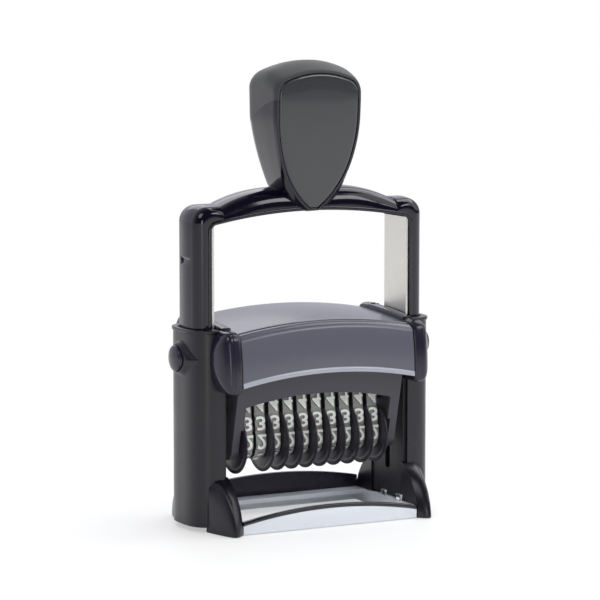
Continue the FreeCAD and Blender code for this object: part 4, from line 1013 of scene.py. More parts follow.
    def bead(self, facing: int) -> bpy.types.Object:
        """Raised bead down both legs and along the arch.

        Args:
            facing: -1 for the front, 1 for the rear.

        Returns:
            The bead.
        """
        inner_x = self.leg_in - self.bead_corner
        bend = self.bead_corner * (1 - math.sqrt(0.5))
        start_z = self.inner_z - self.bead_corner
        half_path = trace((self.leg_in, self.bottom_z + 0.2), (self.leg_in, start_z),
                          ((self.leg_in - bend, self.inner_z - bend), (inner_x, self.underside(inner_x))),
                          steps=10)
        inward = [inner_x * (1 - k / 16) for k in range(1, 17)]
        half_path += [(x, self.underside(x)) for x in inward]
        path = half_path + [(-x, z) for x, z in half_path[-2::-1]]
        outer = drawn_in(path, -self.bead_width, closed=False)
        profile = ((0.0, -0.4), (0.0, 0.12), (0.12, 0.26), (0.35, self.bead_step), (0.65, self.bead_step),
                   (0.88, 0.26), (1.0, 0.12), (1.0, -0.4))
        rings = [[(mix(x0, x1, u), facing * (self.half + h), mix(z0, z1, u)) for u, h in profile]
                 for (x0, z0), (x1, z1) in zip(path, outer)]
        return skin("bow_front_bead" if facing < 0 else "bow_rear_bead", rings, 50.0)

    def build(self) -> list[bpy.types.Object]:
        """Build and dress the bow with its beads and steel straps.

        Returns:
            The pieces.
        """
        made = [self.body(), self.bead(-1), self.bead(1)]
        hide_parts("bow")
        for piece in made:
            Material.GLOSS_BLACK.dress(piece)
            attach(piece, "handle")
        made += [finish_node(f"{hand}_steel_strap", Material.STRAP_STEEL, 0.12) for hand in ("left", "right")]
        return made


@dataclass
class Grip:
    """Grip with a soft cap, a hard lower body drawn in to a waist, and a bare front plate."""

    face_y: float = -13.4
    tip_y: float = -8.9
    face_bow: float = 0.75
    bend_z: float = 146.5
    tip_z: float = 108.3
    rear_y: float = 11.5
    rear_round: float = 7.0
    rear_inset: float = 4.6
    rear_fall: float = 2.4
    rear_from: float = -3.0
    rear_run: float = 14.5
    front_fall: float = 3.4
    front_from: float = -4.0
    front_run: float = 9.4
    taper_z: float = 141.0
    top_z: float = 160.0
    front_half: float = 16.4
    rear_half: float = 16.9
    corner: float = 6.0
    crown_radius: float = 34.0
    saddle_y: float = 7.9
    saddle_z: float = 116.3
    seam_front_z: float = 147.1
    seam_rear_z: float = 134.3
    seam_rise: float = 2.6
    seam_gap: float = 0.06
    front_side: tuple = ((2.2, 108.3), (9.6, 116.4), (14.3, 127.0), (15.7, 133.5), (16.3, 140.0))
    rear_side: tuple = ((2.2, 108.0), (8.6, 112.4), (11.6, 117.5), (14.1, 125.5), (16.7, 140.0))
    rim_width: float = 1.0
    lean_run: float = 8.5
    side_y: float = -3.9
    plate_depth: float = 2.4
    plate_play: float = 0.12
    plate_crown: float = 0.08
    plate_middle_z: float = 139.0

    def face(self, z: float) -> float:
        """Y of the leaning face.

        Args:
            z: Height.

        Returns:
            Y in millimetres.
        """
        if z >= self.bend_z:
            return self.face_y
        low_z = self.tip_z - 1.0
        share = (self.bend_z - z) / (self.bend_z - low_z)
        bulge = 4 * self.face_bow * share * (1 - share)
        return mix(self.face_y, self.tip_y, share) - bulge

    def rear(self, z: float) -> float:
        """Y of the rear at a height: drawn in toward the saddle."""
        share = min(max((self.taper_z - z) / (self.taper_z - self.saddle_z), 0.0), 1.2)
        return self.rear_y - (self.rear_y - self.saddle_y) * share ** 1.15

    def seam(self, y: float) -> float:
        """Height of the curved line between cap and body."""
        share = (y - self.face_y + 2) / (self.rear_y - self.face_y + 4)
        return mix(self.seam_front_z, self.seam_rear_z, share) + self.seam_rise * 4 * share * (1 - share)

    def outline(self, y: float, inset: float) -> list[Flat]:
        """Half outline of the grip at one depth, from the foot over the side to the middle of the crown.

        Args:
            y: Depth.
            inset: How far the outline is drawn in.

        Returns:
            Points of the right half.
        """
        share = ease(0.2, 1.8, y - self.face_y)
        low = [(mix(a[0], b[0], share), mix(a[1], b[1], share))
               for a, b in zip(self.front_side, self.rear_side)]
        wide = mix(self.front_half, self.rear_half, share)
        front_drop = self.front_fall * (max(self.front_from - y, 0.0) / self.front_run) ** 1.6
        rear_drop = self.rear_fall * (max(y - self.rear_from, 0.0) / self.rear_run) ** 2
        top = self.top_z - front_drop - rear_drop
        corner_x = wide - self.corner
        crown_z = top - self.crown_radius
        corner_z = crown_z + math.sqrt((self.crown_radius - self.corner) ** 2 - corner_x ** 2)
        turn = math.atan2(corner_z - crown_z, corner_x)
        joint = (self.crown_radius * math.cos(turn), crown_z + self.crown_radius * math.sin(turn))
        bend = (corner_x + self.corner * math.cos(turn / 2),
                corner_z + self.corner * math.sin(turn / 2))
        near_top = (joint[0] / 2, crown_z + math.sqrt(self.crown_radius ** 2 - (joint[0] / 2) ** 2))
        path = trace(low[0], (low[1], low[2]), (low[3], low[4]), (wide, corner_z), (bend, joint),
                     (near_top, (0.0, top)), steps=24)
        if not inset:
            return path
        mirrored = path + [(-x, z) for x, z in path[-2::-1]]
        return drawn_in(mirrored, inset, closed=False)[:len(path)]

    def split(self, path: list[Flat], y: Callable[[float], float], cap: bool, count: int) -> list[Flat]:
        """Part of a half outline above or below the seam.

        Args:
            path: Half outline.
            y: Depth at a height.
            cap: The upper part if true.
            count: Number of points.

        Returns:
            The part, in even steps.
        """
        gap = 0.0 if cap else self.seam_gap
        for k in range(len(path) - 1):
            over0 = path[k][1] - self.seam(y(path[k][1])) + gap
            over1 = path[k + 1][1] - self.seam(y(path[k + 1][1])) + gap
            if over0 < 0 <= over1:
                share = -over0 / (over1 - over0)
                cross = (mix(path[k][0], path[k + 1][0], share), mix(path[k][1], path[k + 1][1], share))
                part = [cross, *path[k + 1:]] if cap else [*path[:k + 1], cross]
                return evenly(part, count)
        return evenly(path, count)

    def rings(self, cap: bool) -> list[list[Point]]:
        """Rings of the cap or the body, from the plate's recess round the rim to the rear.

        Args:
            cap: The cap if true, or else the body.

        Returns:
            The rings.
        """
        stations: list[tuple[float, float, float]] = [
            (self.rim_width, self.plate_depth + 0.2, 1.0), (self.rim_width, 0.2, 1.0), (0.85, 0.05, 1.0),
            (0.6, 0.0, 1.0), (0.3, 0.06, 1.0), (0.1, 0.22, 1.0), (0.0, 0.5, 1.0)]
        sides, flats, turns = 12, 3, 10
        stations += [(0.0, 0.5 + (self.lean_run * k / sides), 1 - ease(0, sides, k))
                     for k in range(1, sides + 1)]
        straight = self.rear_y - self.rear_round
        draft = 0.3
        for k in range(1, flats + 1):
            y = mix(self.side_y, straight, k / flats)
            stations.append((draft * k / flats, y - self.face_y, 0.0))
        for k in range(1, turns + 1):
            angle = math.pi / 2 * k / turns
            stations.append((draft + (self.rear_inset - draft) * (1 - math.cos(angle)),
                             straight + self.rear_round * math.sin(angle) - self.face_y, 0.0))
        found = []
        for inset, depth, lean in stations:
            def depth_at(z: float, depth: float = depth, lean: float = lean) -> float:
                """Y at a height for this ring.

                Args:
                    z: Height.
                    depth: Depth behind the front.
                    lean: Share of the face's lean that the ring follows.

                Returns:
                    Y in millimetres.
                """
                y = self.face_y + depth + (self.face(z) - self.face_y) * lean
                if y > 0:
                    y *= self.rear(z) / self.rear_y
                return y
            path = self.outline(self.face_y + depth, inset)
            part = self.split(path, depth_at, cap, 34 if cap else 30)
            ring = [(x, depth_at(z), z) for x, z in part]
            other = [(-x, y, z) for x, y, z in (ring[-2::-1] if cap else ring[::-1])]
            found.append(ring + other)
        last = found[-1]
        middle_z = sum(point[2] for point in last) / len(last)
        for share in CLOSING_SHARES:
            inner = [(x * share, mix(middle_z, z, share)) for x, _, z in last]
            found.append([(x, depth_at(z), z) for x, z in inner])
        return found

    def plate(self) -> bpy.types.Object:
        """Front plate with a rolled edge, bare.

        Returns:
            The plate.
        """
        half_path = self.outline(self.face_y, self.rim_width + self.plate_play)
        around = evenly(half_path, 60)
        whole = around + [(-x, z) for x, z in around[-2::-1]]
        steps = [(0.0, self.plate_depth), (0.0, 0.5), (0.12, 0.2), (0.4, 0.02), (0.9, -0.06),
                 (1.5, -self.plate_crown)]
        rings = []
        for inset, depth in steps:
            path = drawn_in(whole, inset)
            rings.append([(x, self.face(z) + depth, z) for x, z in path])
        path = drawn_in(whole, steps[-1][0])
        for share in CLOSING_SHARES:
            ring = [(x * share, mix(self.plate_middle_z, z, share)) for x, z in path]
            rings.append([(x, self.face(z) - self.plate_crown, z) for x, z in ring])
        return skin("grip_front_plate", rings, 50.0)

    def build(self) -> list[bpy.types.Object]:
        """Build and dress the three pieces of the grip.

        Returns:
            The pieces.
        """
        cap = skin("grip_soft_cap", self.rings(True), 45.0)
        body = skin("grip_hard_body", self.rings(False), 45.0)
        plate = self.plate()
        for piece, material, node in ((cap, Material.SOFT_CAP, "grip_cap"),
                                      (body, Material.GLOSS_BLACK, "grip_body"),
                                      (plate, Material.PLATE_GREY, "face_plate")):
            material.dress(piece)
            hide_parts(node)
            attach(piece, "handle")
        return [cap, body, plate]


# Base

def turned(name: str, profile: Sequence[Flat], centre: Flat, hand: int) -> bpy.types.Object:
    """Turn a profile round an axis along X.

    Args:
        name: Piece's name.
        profile: Pairs of X and radius.
        centre: Y and Z of the axis.
        hand: 1 for the right side, -1 for its mirror image.

    Returns:
        The piece.
    """
    sides = 64
    turns = [math.tau * k / sides for k in range(sides)]
    rings = [[(hand * x, centre[0] + r * math.cos(a), centre[1] + r * math.sin(a)) for a in turns]
             for x, r in profile]
    return skin(name, rings, 40.0)


def prism(name: str, outline: Sequence[Flat], z0: float, z1: float, hand: int) -> bpy.types.Object:
    """Upright prism over an outline in X and Y, mirrored for the left side.

    Args:
        name: Piece's name.
        outline: Points of X and Y.
        z0: Lower face.
        z1: Upper face.
        hand: 1 for the right side, -1 for its mirror image.

    Returns:
        The piece.
    """
    return skin(name, [[(hand * x, y, z) for x, y in outline] for z in (z0, z1)], 25.0)


def cut(piece: bpy.types.Object, tool: bpy.types.Object) -> bpy.types.Object:
    """Take one solid out of another.

    Args:
        piece: Piece that is cut.
        tool: Solid to take out, removed afterward.

    Returns:
        The piece.
    """
    made = piece.modifiers.new("cut", "BOOLEAN")
    made.object, made.operation, made.solver = tool, "DIFFERENCE", "EXACT"
    shown = piece.evaluated_get(bpy.context.evaluated_depsgraph_get())
    mesh = bpy.data.meshes.new_from_object(shown)
    piece.modifiers.clear()
    piece.data = mesh
    shade(mesh, 25.0)
    bpy.data.objects.remove(tool)
    return piece


@dataclass
class Sided:
    """Sub-assembly made once for each side, as mirror images."""

    hand: int

    @property
    def side(self) -> str:
        """Word for the side."""
        return "right" if self.hand > 0 else "left"


@dataclass
class Column(Sided):
    """Side housing: channel for the leg with a rolled collar, two shell-shaped feet and a button boss."""

    inner_x: float = 35.995
    outer_x: float = 46.695
    half: float = 12.0
    middle_x: float = 38.0
    squareness: float = 2.93
    bottom_z: float = 1.6
    top_z: float = 69.3
    collar_height: float = 1.3
    collar_step: float = 0.4
    leg_out: float = 45.295
    leg_half: float = 8.6
    leg_corner: float = 4.7
    foot_in: float = 34.195
    foot_ridge: float = 37.995
    foot_out: float = 42.295
    foot_reach: float = 22.4
    foot_tip: float = 25.0
    foot_top: float = 18.4
    foot_heel: float = 1.4
    button_z: float = 59.0
    button_radius: float = 4.45
    button_play: float = 0.07
    bore_play: float = 0.1
    boss_radius: float = 6.4
    boss_tip: float = 10.9
    seat_x: float = 45.995

    def outer_line(self, grow: float, steps: int = 72) -> list[Flat]:
        """Outer face in plan, rounded off evenly from front to rear.

        Args:
            grow: How far the line is moved outward.
            steps: Number of segments.

        Returns:
            Points from the front to the rear.
        """
        found = []
        power = 2 / self.squareness
        for k in range(steps + 1):
            angle = math.pi * (k / steps - 0.5)
            across, along = math.cos(angle), math.sin(angle)
            found.append((self.middle_x + (self.outer_x - self.middle_x + grow) * abs(across) ** power,
                          (self.half + grow) * math.copysign(abs(along) ** power, along)))
        return found

    def channel(self, grow: float = 0.0) -> list[Flat]:
        """C-shaped outline: rounded outside, the leg's space inside.

        Args:
            grow: How far the outer line is moved outward.

        Returns:
            Points of the outline.
        """
        outer = [(self.inner_x, -self.half - grow), *self.outer_line(grow), (self.inner_x, self.half + grow)]
        turn = self.leg_corner * (1 - math.sqrt(0.5))
        reach, wide, small = self.leg_out, self.leg_half, self.leg_corner
        inner = trace((self.inner_x, wide), (reach - small, wide),
                      ((reach - turn, wide - turn), (reach, wide - small)),
                      (reach, small - wide), ((reach - turn, turn - wide), (reach - small, -wide)),
                      (self.inner_x, -wide), steps=10)
        return outer + inner

    def foot(self, facing: int) -> bpy.types.Object:
        """Shell-shaped foot that comes to a ridge at its toe.

        Args:
            facing: -1 for the front foot, 1 for the rear one.

        Returns:
            The foot.
        """
        heel = self.half - self.foot_heel
        inner_steps, outer_steps = 5, 12
        stations = []
        for k in range(inner_steps + 1):
            share = k / inner_steps
            stations.append((mix(self.foot_in, self.foot_ridge, share),
                             mix(self.foot_reach, self.foot_tip, math.sin(math.pi / 2 * share)),
                             self.foot_top))
        for k in range(1, outer_steps + 1):
            share = k / outer_steps
            stations.append((mix(self.foot_ridge, self.foot_out, share),
                             mix(self.foot_tip, self.half - self.collar_step, share ** 1.6),
                             self.foot_top - share ** 2))
        rings = []
        for x, reach, top in stations:
            middle = (heel + (reach - heel) * 0.72, top * 0.6)
            path = trace((heel, 0.0), (heel, top), (middle, (reach, 0.45)), (reach - 0.3, 0.0), steps=12)
            rings.append([(self.hand * x, facing * y, z) for y, z in path])
        name = f"{self.side}_{'front' if facing < 0 else 'rear'}_foot"
        return soften(skin(name, rings, 38.0), 0.25)

    def around(self, along: float, out: float) -> Flat:
        """Point on the outer face, by the way along it from the middle of the side.

        Args:
            along: Distance along the outline, positive toward the front.
            out: Distance off the face.

        Returns:
            X and Y.
        """
        line = self.outer_line(0.0)
        middle = len(line) // 2
        line = line[middle:] if along < 0 else line[middle::-1]
        left = abs(along)
        for (x0, y0), (x1, y1) in zip(line, line[1:]):
            run = math.hypot(x1 - x0, y1 - y0)
            if left <= run:
                break
            left -= run
        share, turn = left / run, math.copysign(1.0, -along)
        return (mix(x0, x1, share) + out * turn * (y1 - y0) / run,
                mix(y0, y1, share) - out * turn * (x1 - x0) / run)

    def boss(self) -> bpy.types.Object:
        """Drop-shaped swelling round the release button, its point toward the front.

        Returns:
            The boss.
        """
        hole = self.button_radius + self.button_play
        lean = math.acos(self.boss_radius / self.boss_tip)
        stations = ((-0.3, -0.6), (0.0, -0.6), (0.0, 1.45), (0.03, 1.56), (0.1, 1.6), (0.2, 1.57),
                    (0.32, 1.4), (0.45, 1.1), (0.6, 0.72), (0.75, 0.36), (0.88, 0.12), (0.96, 0.03),
                    (1.02, -0.1))
        sides, blunt = 96, 0.12
        rings = []
        for share, out in stations:
            ring = []
            for k in range(sides):
                angle = math.tau * k / sides
                off_tip = min(angle, math.tau - angle)
                edge = self.boss_radius
                if off_tip < lean:
                    edge /= math.cos(lean - off_tip)
                edge -= blunt * math.exp(-(off_tip / blunt) ** 2)
                reach = hole + (edge - hole) * share if share > 0 else hole - 2 * share
                x, y = self.around(reach * math.cos(angle), out)
                ring.append((self.hand * x, y, self.button_z + reach * math.sin(angle)))
            rings.append(ring)
        return skin(f"{self.side}_boss", rings, 50.0, looped=True)

    def button(self) -> bpy.types.Object:
        """Domed release button, hollow behind.

        Returns:
            The button.
        """
        r = self.button_radius
        profile = [(47.45, r - 0.9), (47.45, r), (48.9, r), (49.15, r - 0.08), (49.35, r - 0.3),
                   (49.6, r - 1.0), (49.83, r - 2.0), (49.98, r - 3.0), (50.05, 0.01), (49.0, 0.01),
                   (49.0, r - 0.9)]
        return turned(f"{self.side}_button", profile, (0.0, self.button_z), self.hand)

    def build(self) -> list[bpy.types.Object]:
        """Build and dress the housing and its button.

        Returns:
            The pieces.
        """
        shaft = prism(f"{self.side}_housing", self.channel(), self.bottom_z,
                      self.top_z - self.collar_height + 0.1, self.hand)
        wide, past = self.button_radius + self.bore_play, self.outer_x + 1
        bore = turned("bore", [(self.seat_x, 0.0), (self.seat_x, wide), (past, wide), (past, 0.0)],
                      (0.0, self.button_z), self.hand)
        shaft = soften(cut(shaft, bore), 0.7, 4)
        collar = soften(prism(f"{self.side}_collar", self.channel(self.collar_step),
                              self.top_z - self.collar_height, self.top_z, self.hand), 0.38, 4)
        pieces = [shaft, collar, self.foot(-1), self.foot(1), self.boss()]
        for piece in pieces:
            Material.SATIN_BLACK.dress(piece)
            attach(piece, "base")
        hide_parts(f"{self.side}_column")
        button = self.button()
        Material.CHEEK_BLACK.dress(button)
        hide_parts(f"{self.side}_release_button")
        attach(button, f"{self.side}_button")
        return pieces + [button]


@dataclass
class CoverShape:
    """Side profile of the cover and how it arches along X."""

    half_length: float = 33.395
    wall: float = 1.6
    lip_y: float = 21.2
    lip_z: float = 53.5
    mid_y: float = 20.9
    mid_z: float = 61.5
    corner: float = 3.0
    corner_y: float = 16.9
    front_z: float = 68.0
    rear_z: float = 70.6
    top_z: float = 72.9
    arch_radius: float = 170.624
    fall: float = 3.3

    @property
    def axis_z(self) -> float:
        """Height of the axis that the cover arches round."""
        return (self.lip_z + self.top_z) / 2 - self.arch_radius

    def lowered(self, z: float, x: float) -> float:
        """Height at an X of what stands at height z in the middle."""
        return self.axis_z + math.sqrt((z - self.axis_z) ** 2 - x * x)

    def bend(self, facing: int, centre_z: float, degrees: float, grow: float) -> Flat:
        """Point on the bend between side and top."""
        radius, angle = self.corner + grow, math.radians(degrees)
        return facing * (self.corner_y + radius * math.cos(angle)), centre_z + radius * math.sin(angle)

    def front_side(self, grow: float, steps: int = 10) -> list[Flat]:
        """Front of the profile, from the lip up to the end of the bend."""
        low, middle, high = (self.bend(-1, self.front_z, degrees, grow) for degrees in (8, 46, 84))
        return trace((-self.lip_y - grow, self.lip_z), ((-self.mid_y - grow, self.mid_z), low),
                     (middle, high), steps=steps)

    def crown(self, grow: float, steps: int = 16) -> list[Flat]:
        """Top of the profile from front to rear."""
        return trace(self.bend(-1, self.front_z, 84, grow),
                     ((0.0, self.top_z + grow), self.bend(1, self.rear_z, 88, grow)), steps=steps)

    def rear_side(self, grow: float, steps: int = 10) -> list[Flat]:
        """Rear of the profile, from the bend down to the lip."""
        high, middle, low = (self.bend(1, self.rear_z, degrees, grow) for degrees in (88, 48, 8))
        return trace(high, (middle, low), ((self.mid_y + grow, self.mid_z), (self.lip_y + grow, self.lip_z)),
                     steps=steps)

    def arched(self, name: str, outline: Sequence[Flat], degrees: float = 28.0) -> bpy.types.Object:
        """Sweep a closed profile of Y and Z along the arch.

        Args:
            name: Piece's name.
            outline: Closed profile at mid length.
            degrees: Edges sharper than this stay sharp.

        Returns:
            The piece.
        """
        rings, stations = [], 28
        for k in range(stations + 1):
            x = mix(-self.half_length, self.half_length, k / stations)
            rings.append([(x, y, self.lowered(z, x)) for y, z in outline])
        return skin(name, rings, degrees)


@dataclass
class Cover:
    """Grey cover over the ink: fixed crown, pull-out front with its lip, and pad."""

    shape: CoverShape = field(default_factory=CoverShape)
    parting_gap: float = 0.3
    lip_height: float = 1.9
    lip_step: float = 0.35
    pad_half: tuple[float, float] = (27.6, 8.6)
    pad_z: tuple[float, float] = (62.3, 64.5)
    pad_corner: float = 1.6
    pad_fill: float = 0.9

    def crown(self) -> bpy.types.Object:
        """Fixed part: crown and rear skirt, with a small bevel at the parting line.

        Returns:
            The crown.
        """
        shape = self.shape
        outer, inner = shape.crown(0.0), shape.crown(-shape.wall)
        edge = -shape.corner_y + self.parting_gap + 0.35
        top = [(y, z) for y, z in outer if y > edge + 0.2]
        under = [(y, z) for y, z in inner if y > edge + 1.4]
        first = (edge, top[0][1] - 0.22)
        outline = [first, (edge + 0.28, top[0][1] - 0.02), *top, *shape.rear_side(0.0)[1:],
                   *shape.rear_side(-shape.wall)[::-1], *under[::-1], (edge + 0.7, first[1] - 1.35)]
        return shape.arched("cover_crown", outline)

    def front(self) -> bpy.types.Object:
        """Pull-out front: rounded over at the top, with a bevelled edge that catches the light.

        Returns:
            The front.
        """
        shape = self.shape
        outer = [(y, z) for y, z in shape.front_side(0.0, 14) if y < -shape.corner_y - 0.25]
        inner = [(y, z) for y, z in shape.front_side(-shape.wall, 14) if y < -shape.corner_y + 0.1]
        top_y, top_z = outer[-1]
        outline = [*outer, (top_y + 0.3, top_z), (top_y + 0.52, top_z - 0.2),
                   (top_y + 1.1, top_z - 1.5), *inner[::-1]]
        return shape.arched("cover_front", outline)

    def lip(self) -> bpy.types.Object:
        """Rolled lip along the lower edge of the front.

        Returns:
            The lip.
        """
        shape = self.shape
        y, z = -shape.lip_y, shape.lip_z
        step, high = self.lip_step, self.lip_height
        outline = [(y + 0.6, z), (y - step + 0.15, z), (y - step, z + 0.15), (y - step, z + high * 0.4),
                   (y - step + 0.05, z + high * 0.62), (y - step + 0.16, z + high * 0.8),
                   (y - step + 0.36, z + high * 0.93), (y + 0.6, z + high)]
        return shape.arched("cover_lip", outline, 60.0)

    def pad(self) -> bpy.types.Object:
        """Felt pad with rounded, slightly swollen edges.

        Returns:
            The pad.
        """
        half_x, half_y = self.pad_half
        low, high = self.pad_z
        corner = self.pad_corner
        bend = corner * (1 - math.sqrt(0.5))
        legs = []
        for x, y in ((1, -1), (1, 1), (-1, 1), (-1, -1)):
            ends = [(x * (half_x - corner), y * half_y), (x * half_x, y * (half_y - corner))]
            first, last = ends if x * y < 0 else ends[::-1]
            legs += [first, ((x * (half_x - bend), y * (half_y - bend)), last)]
        around = trace((corner - half_x, -half_y), *legs, steps=8)[:-1]
        rings = []
        for inset, share in ((0.3, 1.0), (0.05, 0.9), (0.0, 0.6), (0.0, 0.4), (0.1, 0.2), (0.35, 0.06),
                             (0.8, 0.0), (2.0, 0.0), (4.0, 0.0), (7.0, 0.0)):
            rings.append([(x, y, mix(low, high, share)) for x, y in drawn_in(around, inset)])
        return skin("felt_pad", rings, 60.0)

    def build(self) -> list[bpy.types.Object]:
        """Build and dress the cover, its front and the pad.

        Returns:
            The pieces.
        """
        crown, front, lip, pad = self.crown(), self.front(), self.lip(), self.pad()
        Material.COVER_GREY.dress(crown)
        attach(crown, "base")
        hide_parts("top_cover")
        Material.COVER_GREY.dress(front)
        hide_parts("cartridge_front")
        # The lip's lighter grey is a painted highlight.
        Material.LIP_GREY.dress(lip)
        Material.PAD_FELT.dress(pad)
        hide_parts("ink_pad")
        for piece in (front, lip, pad):
            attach(piece, "ink_cartridge")
        return [crown, front, lip, pad]


@dataclass
class Cheek(Sided):
    """Side plate that holds the end of the cover, its noses rounded back to the housing."""

    shape: CoverShape = field(default_factory=CoverShape)
    end_x: float = 33.595
    plate_in: float = 34.795
    plate_out: float = 37.195
    flare: float = 4.0
    proud: float = 0.4
    lift: float = 1.3
    skirt: float = 2.4
    over_z: float = 69.45
    heel_step: float = 1.5
    heel: float = 11.95
    middle_z: float = 59.5
    points: int = 56

    def raised(self, z: float, lift: float) -> float:
        """Height at the cover's end, lifted toward the top."""
        shape = self.shape
        return z - shape.fall + lift * (z - shape.lip_z) / (shape.top_z - shape.lip_z)

    def nose_path(self, facing: int, grow: float, low: float, lift: float) -> list[Flat]:
        """Open profile of a nose from its lower heel round to its upper heel.

        Args:
            facing: -1 for the front, 1 for the rear.
            grow: How far it stands proud of the cover.
            low: Height of the lower edge.
            lift: Lift of the upper edge.

        Returns:
            Points of Y (positive outward) and Z.
        """
        shape = self.shape
        side = shape.front_side(grow, 14) if facing < 0 else shape.rear_side(grow, 14)[::-1]
        side = [(abs(y), self.raised(z, lift)) for y, z in side]
        top = side[-1]
        foot = (side[0][0] - self.heel_step, low)
        return [(self.heel, low), (mix(self.heel, foot[0], 0.5), low), foot,
                (mix(foot[0], side[0][0], 0.45), low + 0.25), (mix(foot[0], side[0][0], 0.85), low + 1.0),
                *side, (mix(top[0], self.heel, 0.5), top[1] + 0.1), (self.heel, top[1] + 0.2)]

    def nose(self, facing: int) -> bpy.types.Object:
        """Rounded nose in front of the housing or behind it.

        Args:
            facing: -1 for the front, 1 for the rear.

        Returns:
            The nose.
        """
        low = self.shape.lip_z - self.shape.fall - self.skirt
        rings = []
        stops = [(self.end_x, -0.25, 0.8, 1.3), (self.end_x + 0.2, 0.1, 1.0, 0.6),
                 (self.end_x + 0.9, 0.35, 1.1, 0.2), (self.plate_in, 0.4, 1.2, 0.05),
                 (self.plate_out - 0.9, 0.4, 1.3, 0.0), (self.plate_out - 0.6, 0.1, 1.3, 0.1),
                 (self.plate_out - 0.3, 0.1, 1.3, 0.1)]
        for x, grow, lift, rise in stops:
            path = evenly(self.nose_path(facing, grow, low + rise, lift), self.points)
            rings.append([(self.hand * x, facing * y, z) for y, z in path])
        turns = 10
        for k in range(1, turns + 1):
            angle = math.pi / 2 * k / turns
            along, across = math.cos(angle) ** 0.8, max(math.cos(angle), 0.0) ** 0.9 * 0.96 + 0.04
            x = self.plate_out - 0.3 + (self.flare + 0.3) * math.sin(angle)
            path = evenly(self.nose_path(facing, 0.25, low + 0.1, self.lift), self.points)
            rings.append([(self.hand * x, facing * (self.heel + (y - self.heel) * max(along, 0.03)),
                           self.middle_z + (z - self.middle_z) * across) for y, z in path])
        return skin(f"{self.side}_cheek_{'front' if facing < 0 else 'rear'}", rings, 40.0)

    def bridge(self) -> bpy.types.Object:
        """Plate between the noses: under the cover's edge, and over the housing's inner wall.

        Returns:
            The bridge.
        """
        low = self.shape.lip_z - self.shape.fall - self.skirt
        crown = self.shape.crown(0.0, 40)
        steps, overlap = 20, 0.35
        near, wall, far = self.end_x, self.plate_in - 0.06, self.plate_out
        rings = []
        for k in range(steps + 1):
            y = mix(-self.heel - overlap, self.heel + overlap, k / steps)
            nearest = min(crown, key=lambda point: abs(point[0] - y))
            top = self.raised(nearest[1], self.lift) + self.proud
            section = [(near, low + 0.9), (wall, low + 0.9), (wall, self.over_z), (far, self.over_z),
                       (far, top - 0.5), (far - 0.15, top - 0.15), (far - 0.5, top), (near + 0.6, top),
                       (near + 0.2, top - 0.15), (near, top - 0.6)]
            rings.append([(self.hand * x, y, z) for x, z in section])
        return skin(f"{self.side}_cheek_bridge", rings, 40.0)

    def build(self) -> list[bpy.types.Object]:
        """Build and dress the cheek.

        Returns:
            The pieces.
        """
        made = [self.bridge(), self.nose(-1), self.nose(1)]
        for piece in made:
            Material.CHEEK_BLACK.dress(piece)
            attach(piece, "base")
        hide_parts(f"{self.side}_cheek")
        return made


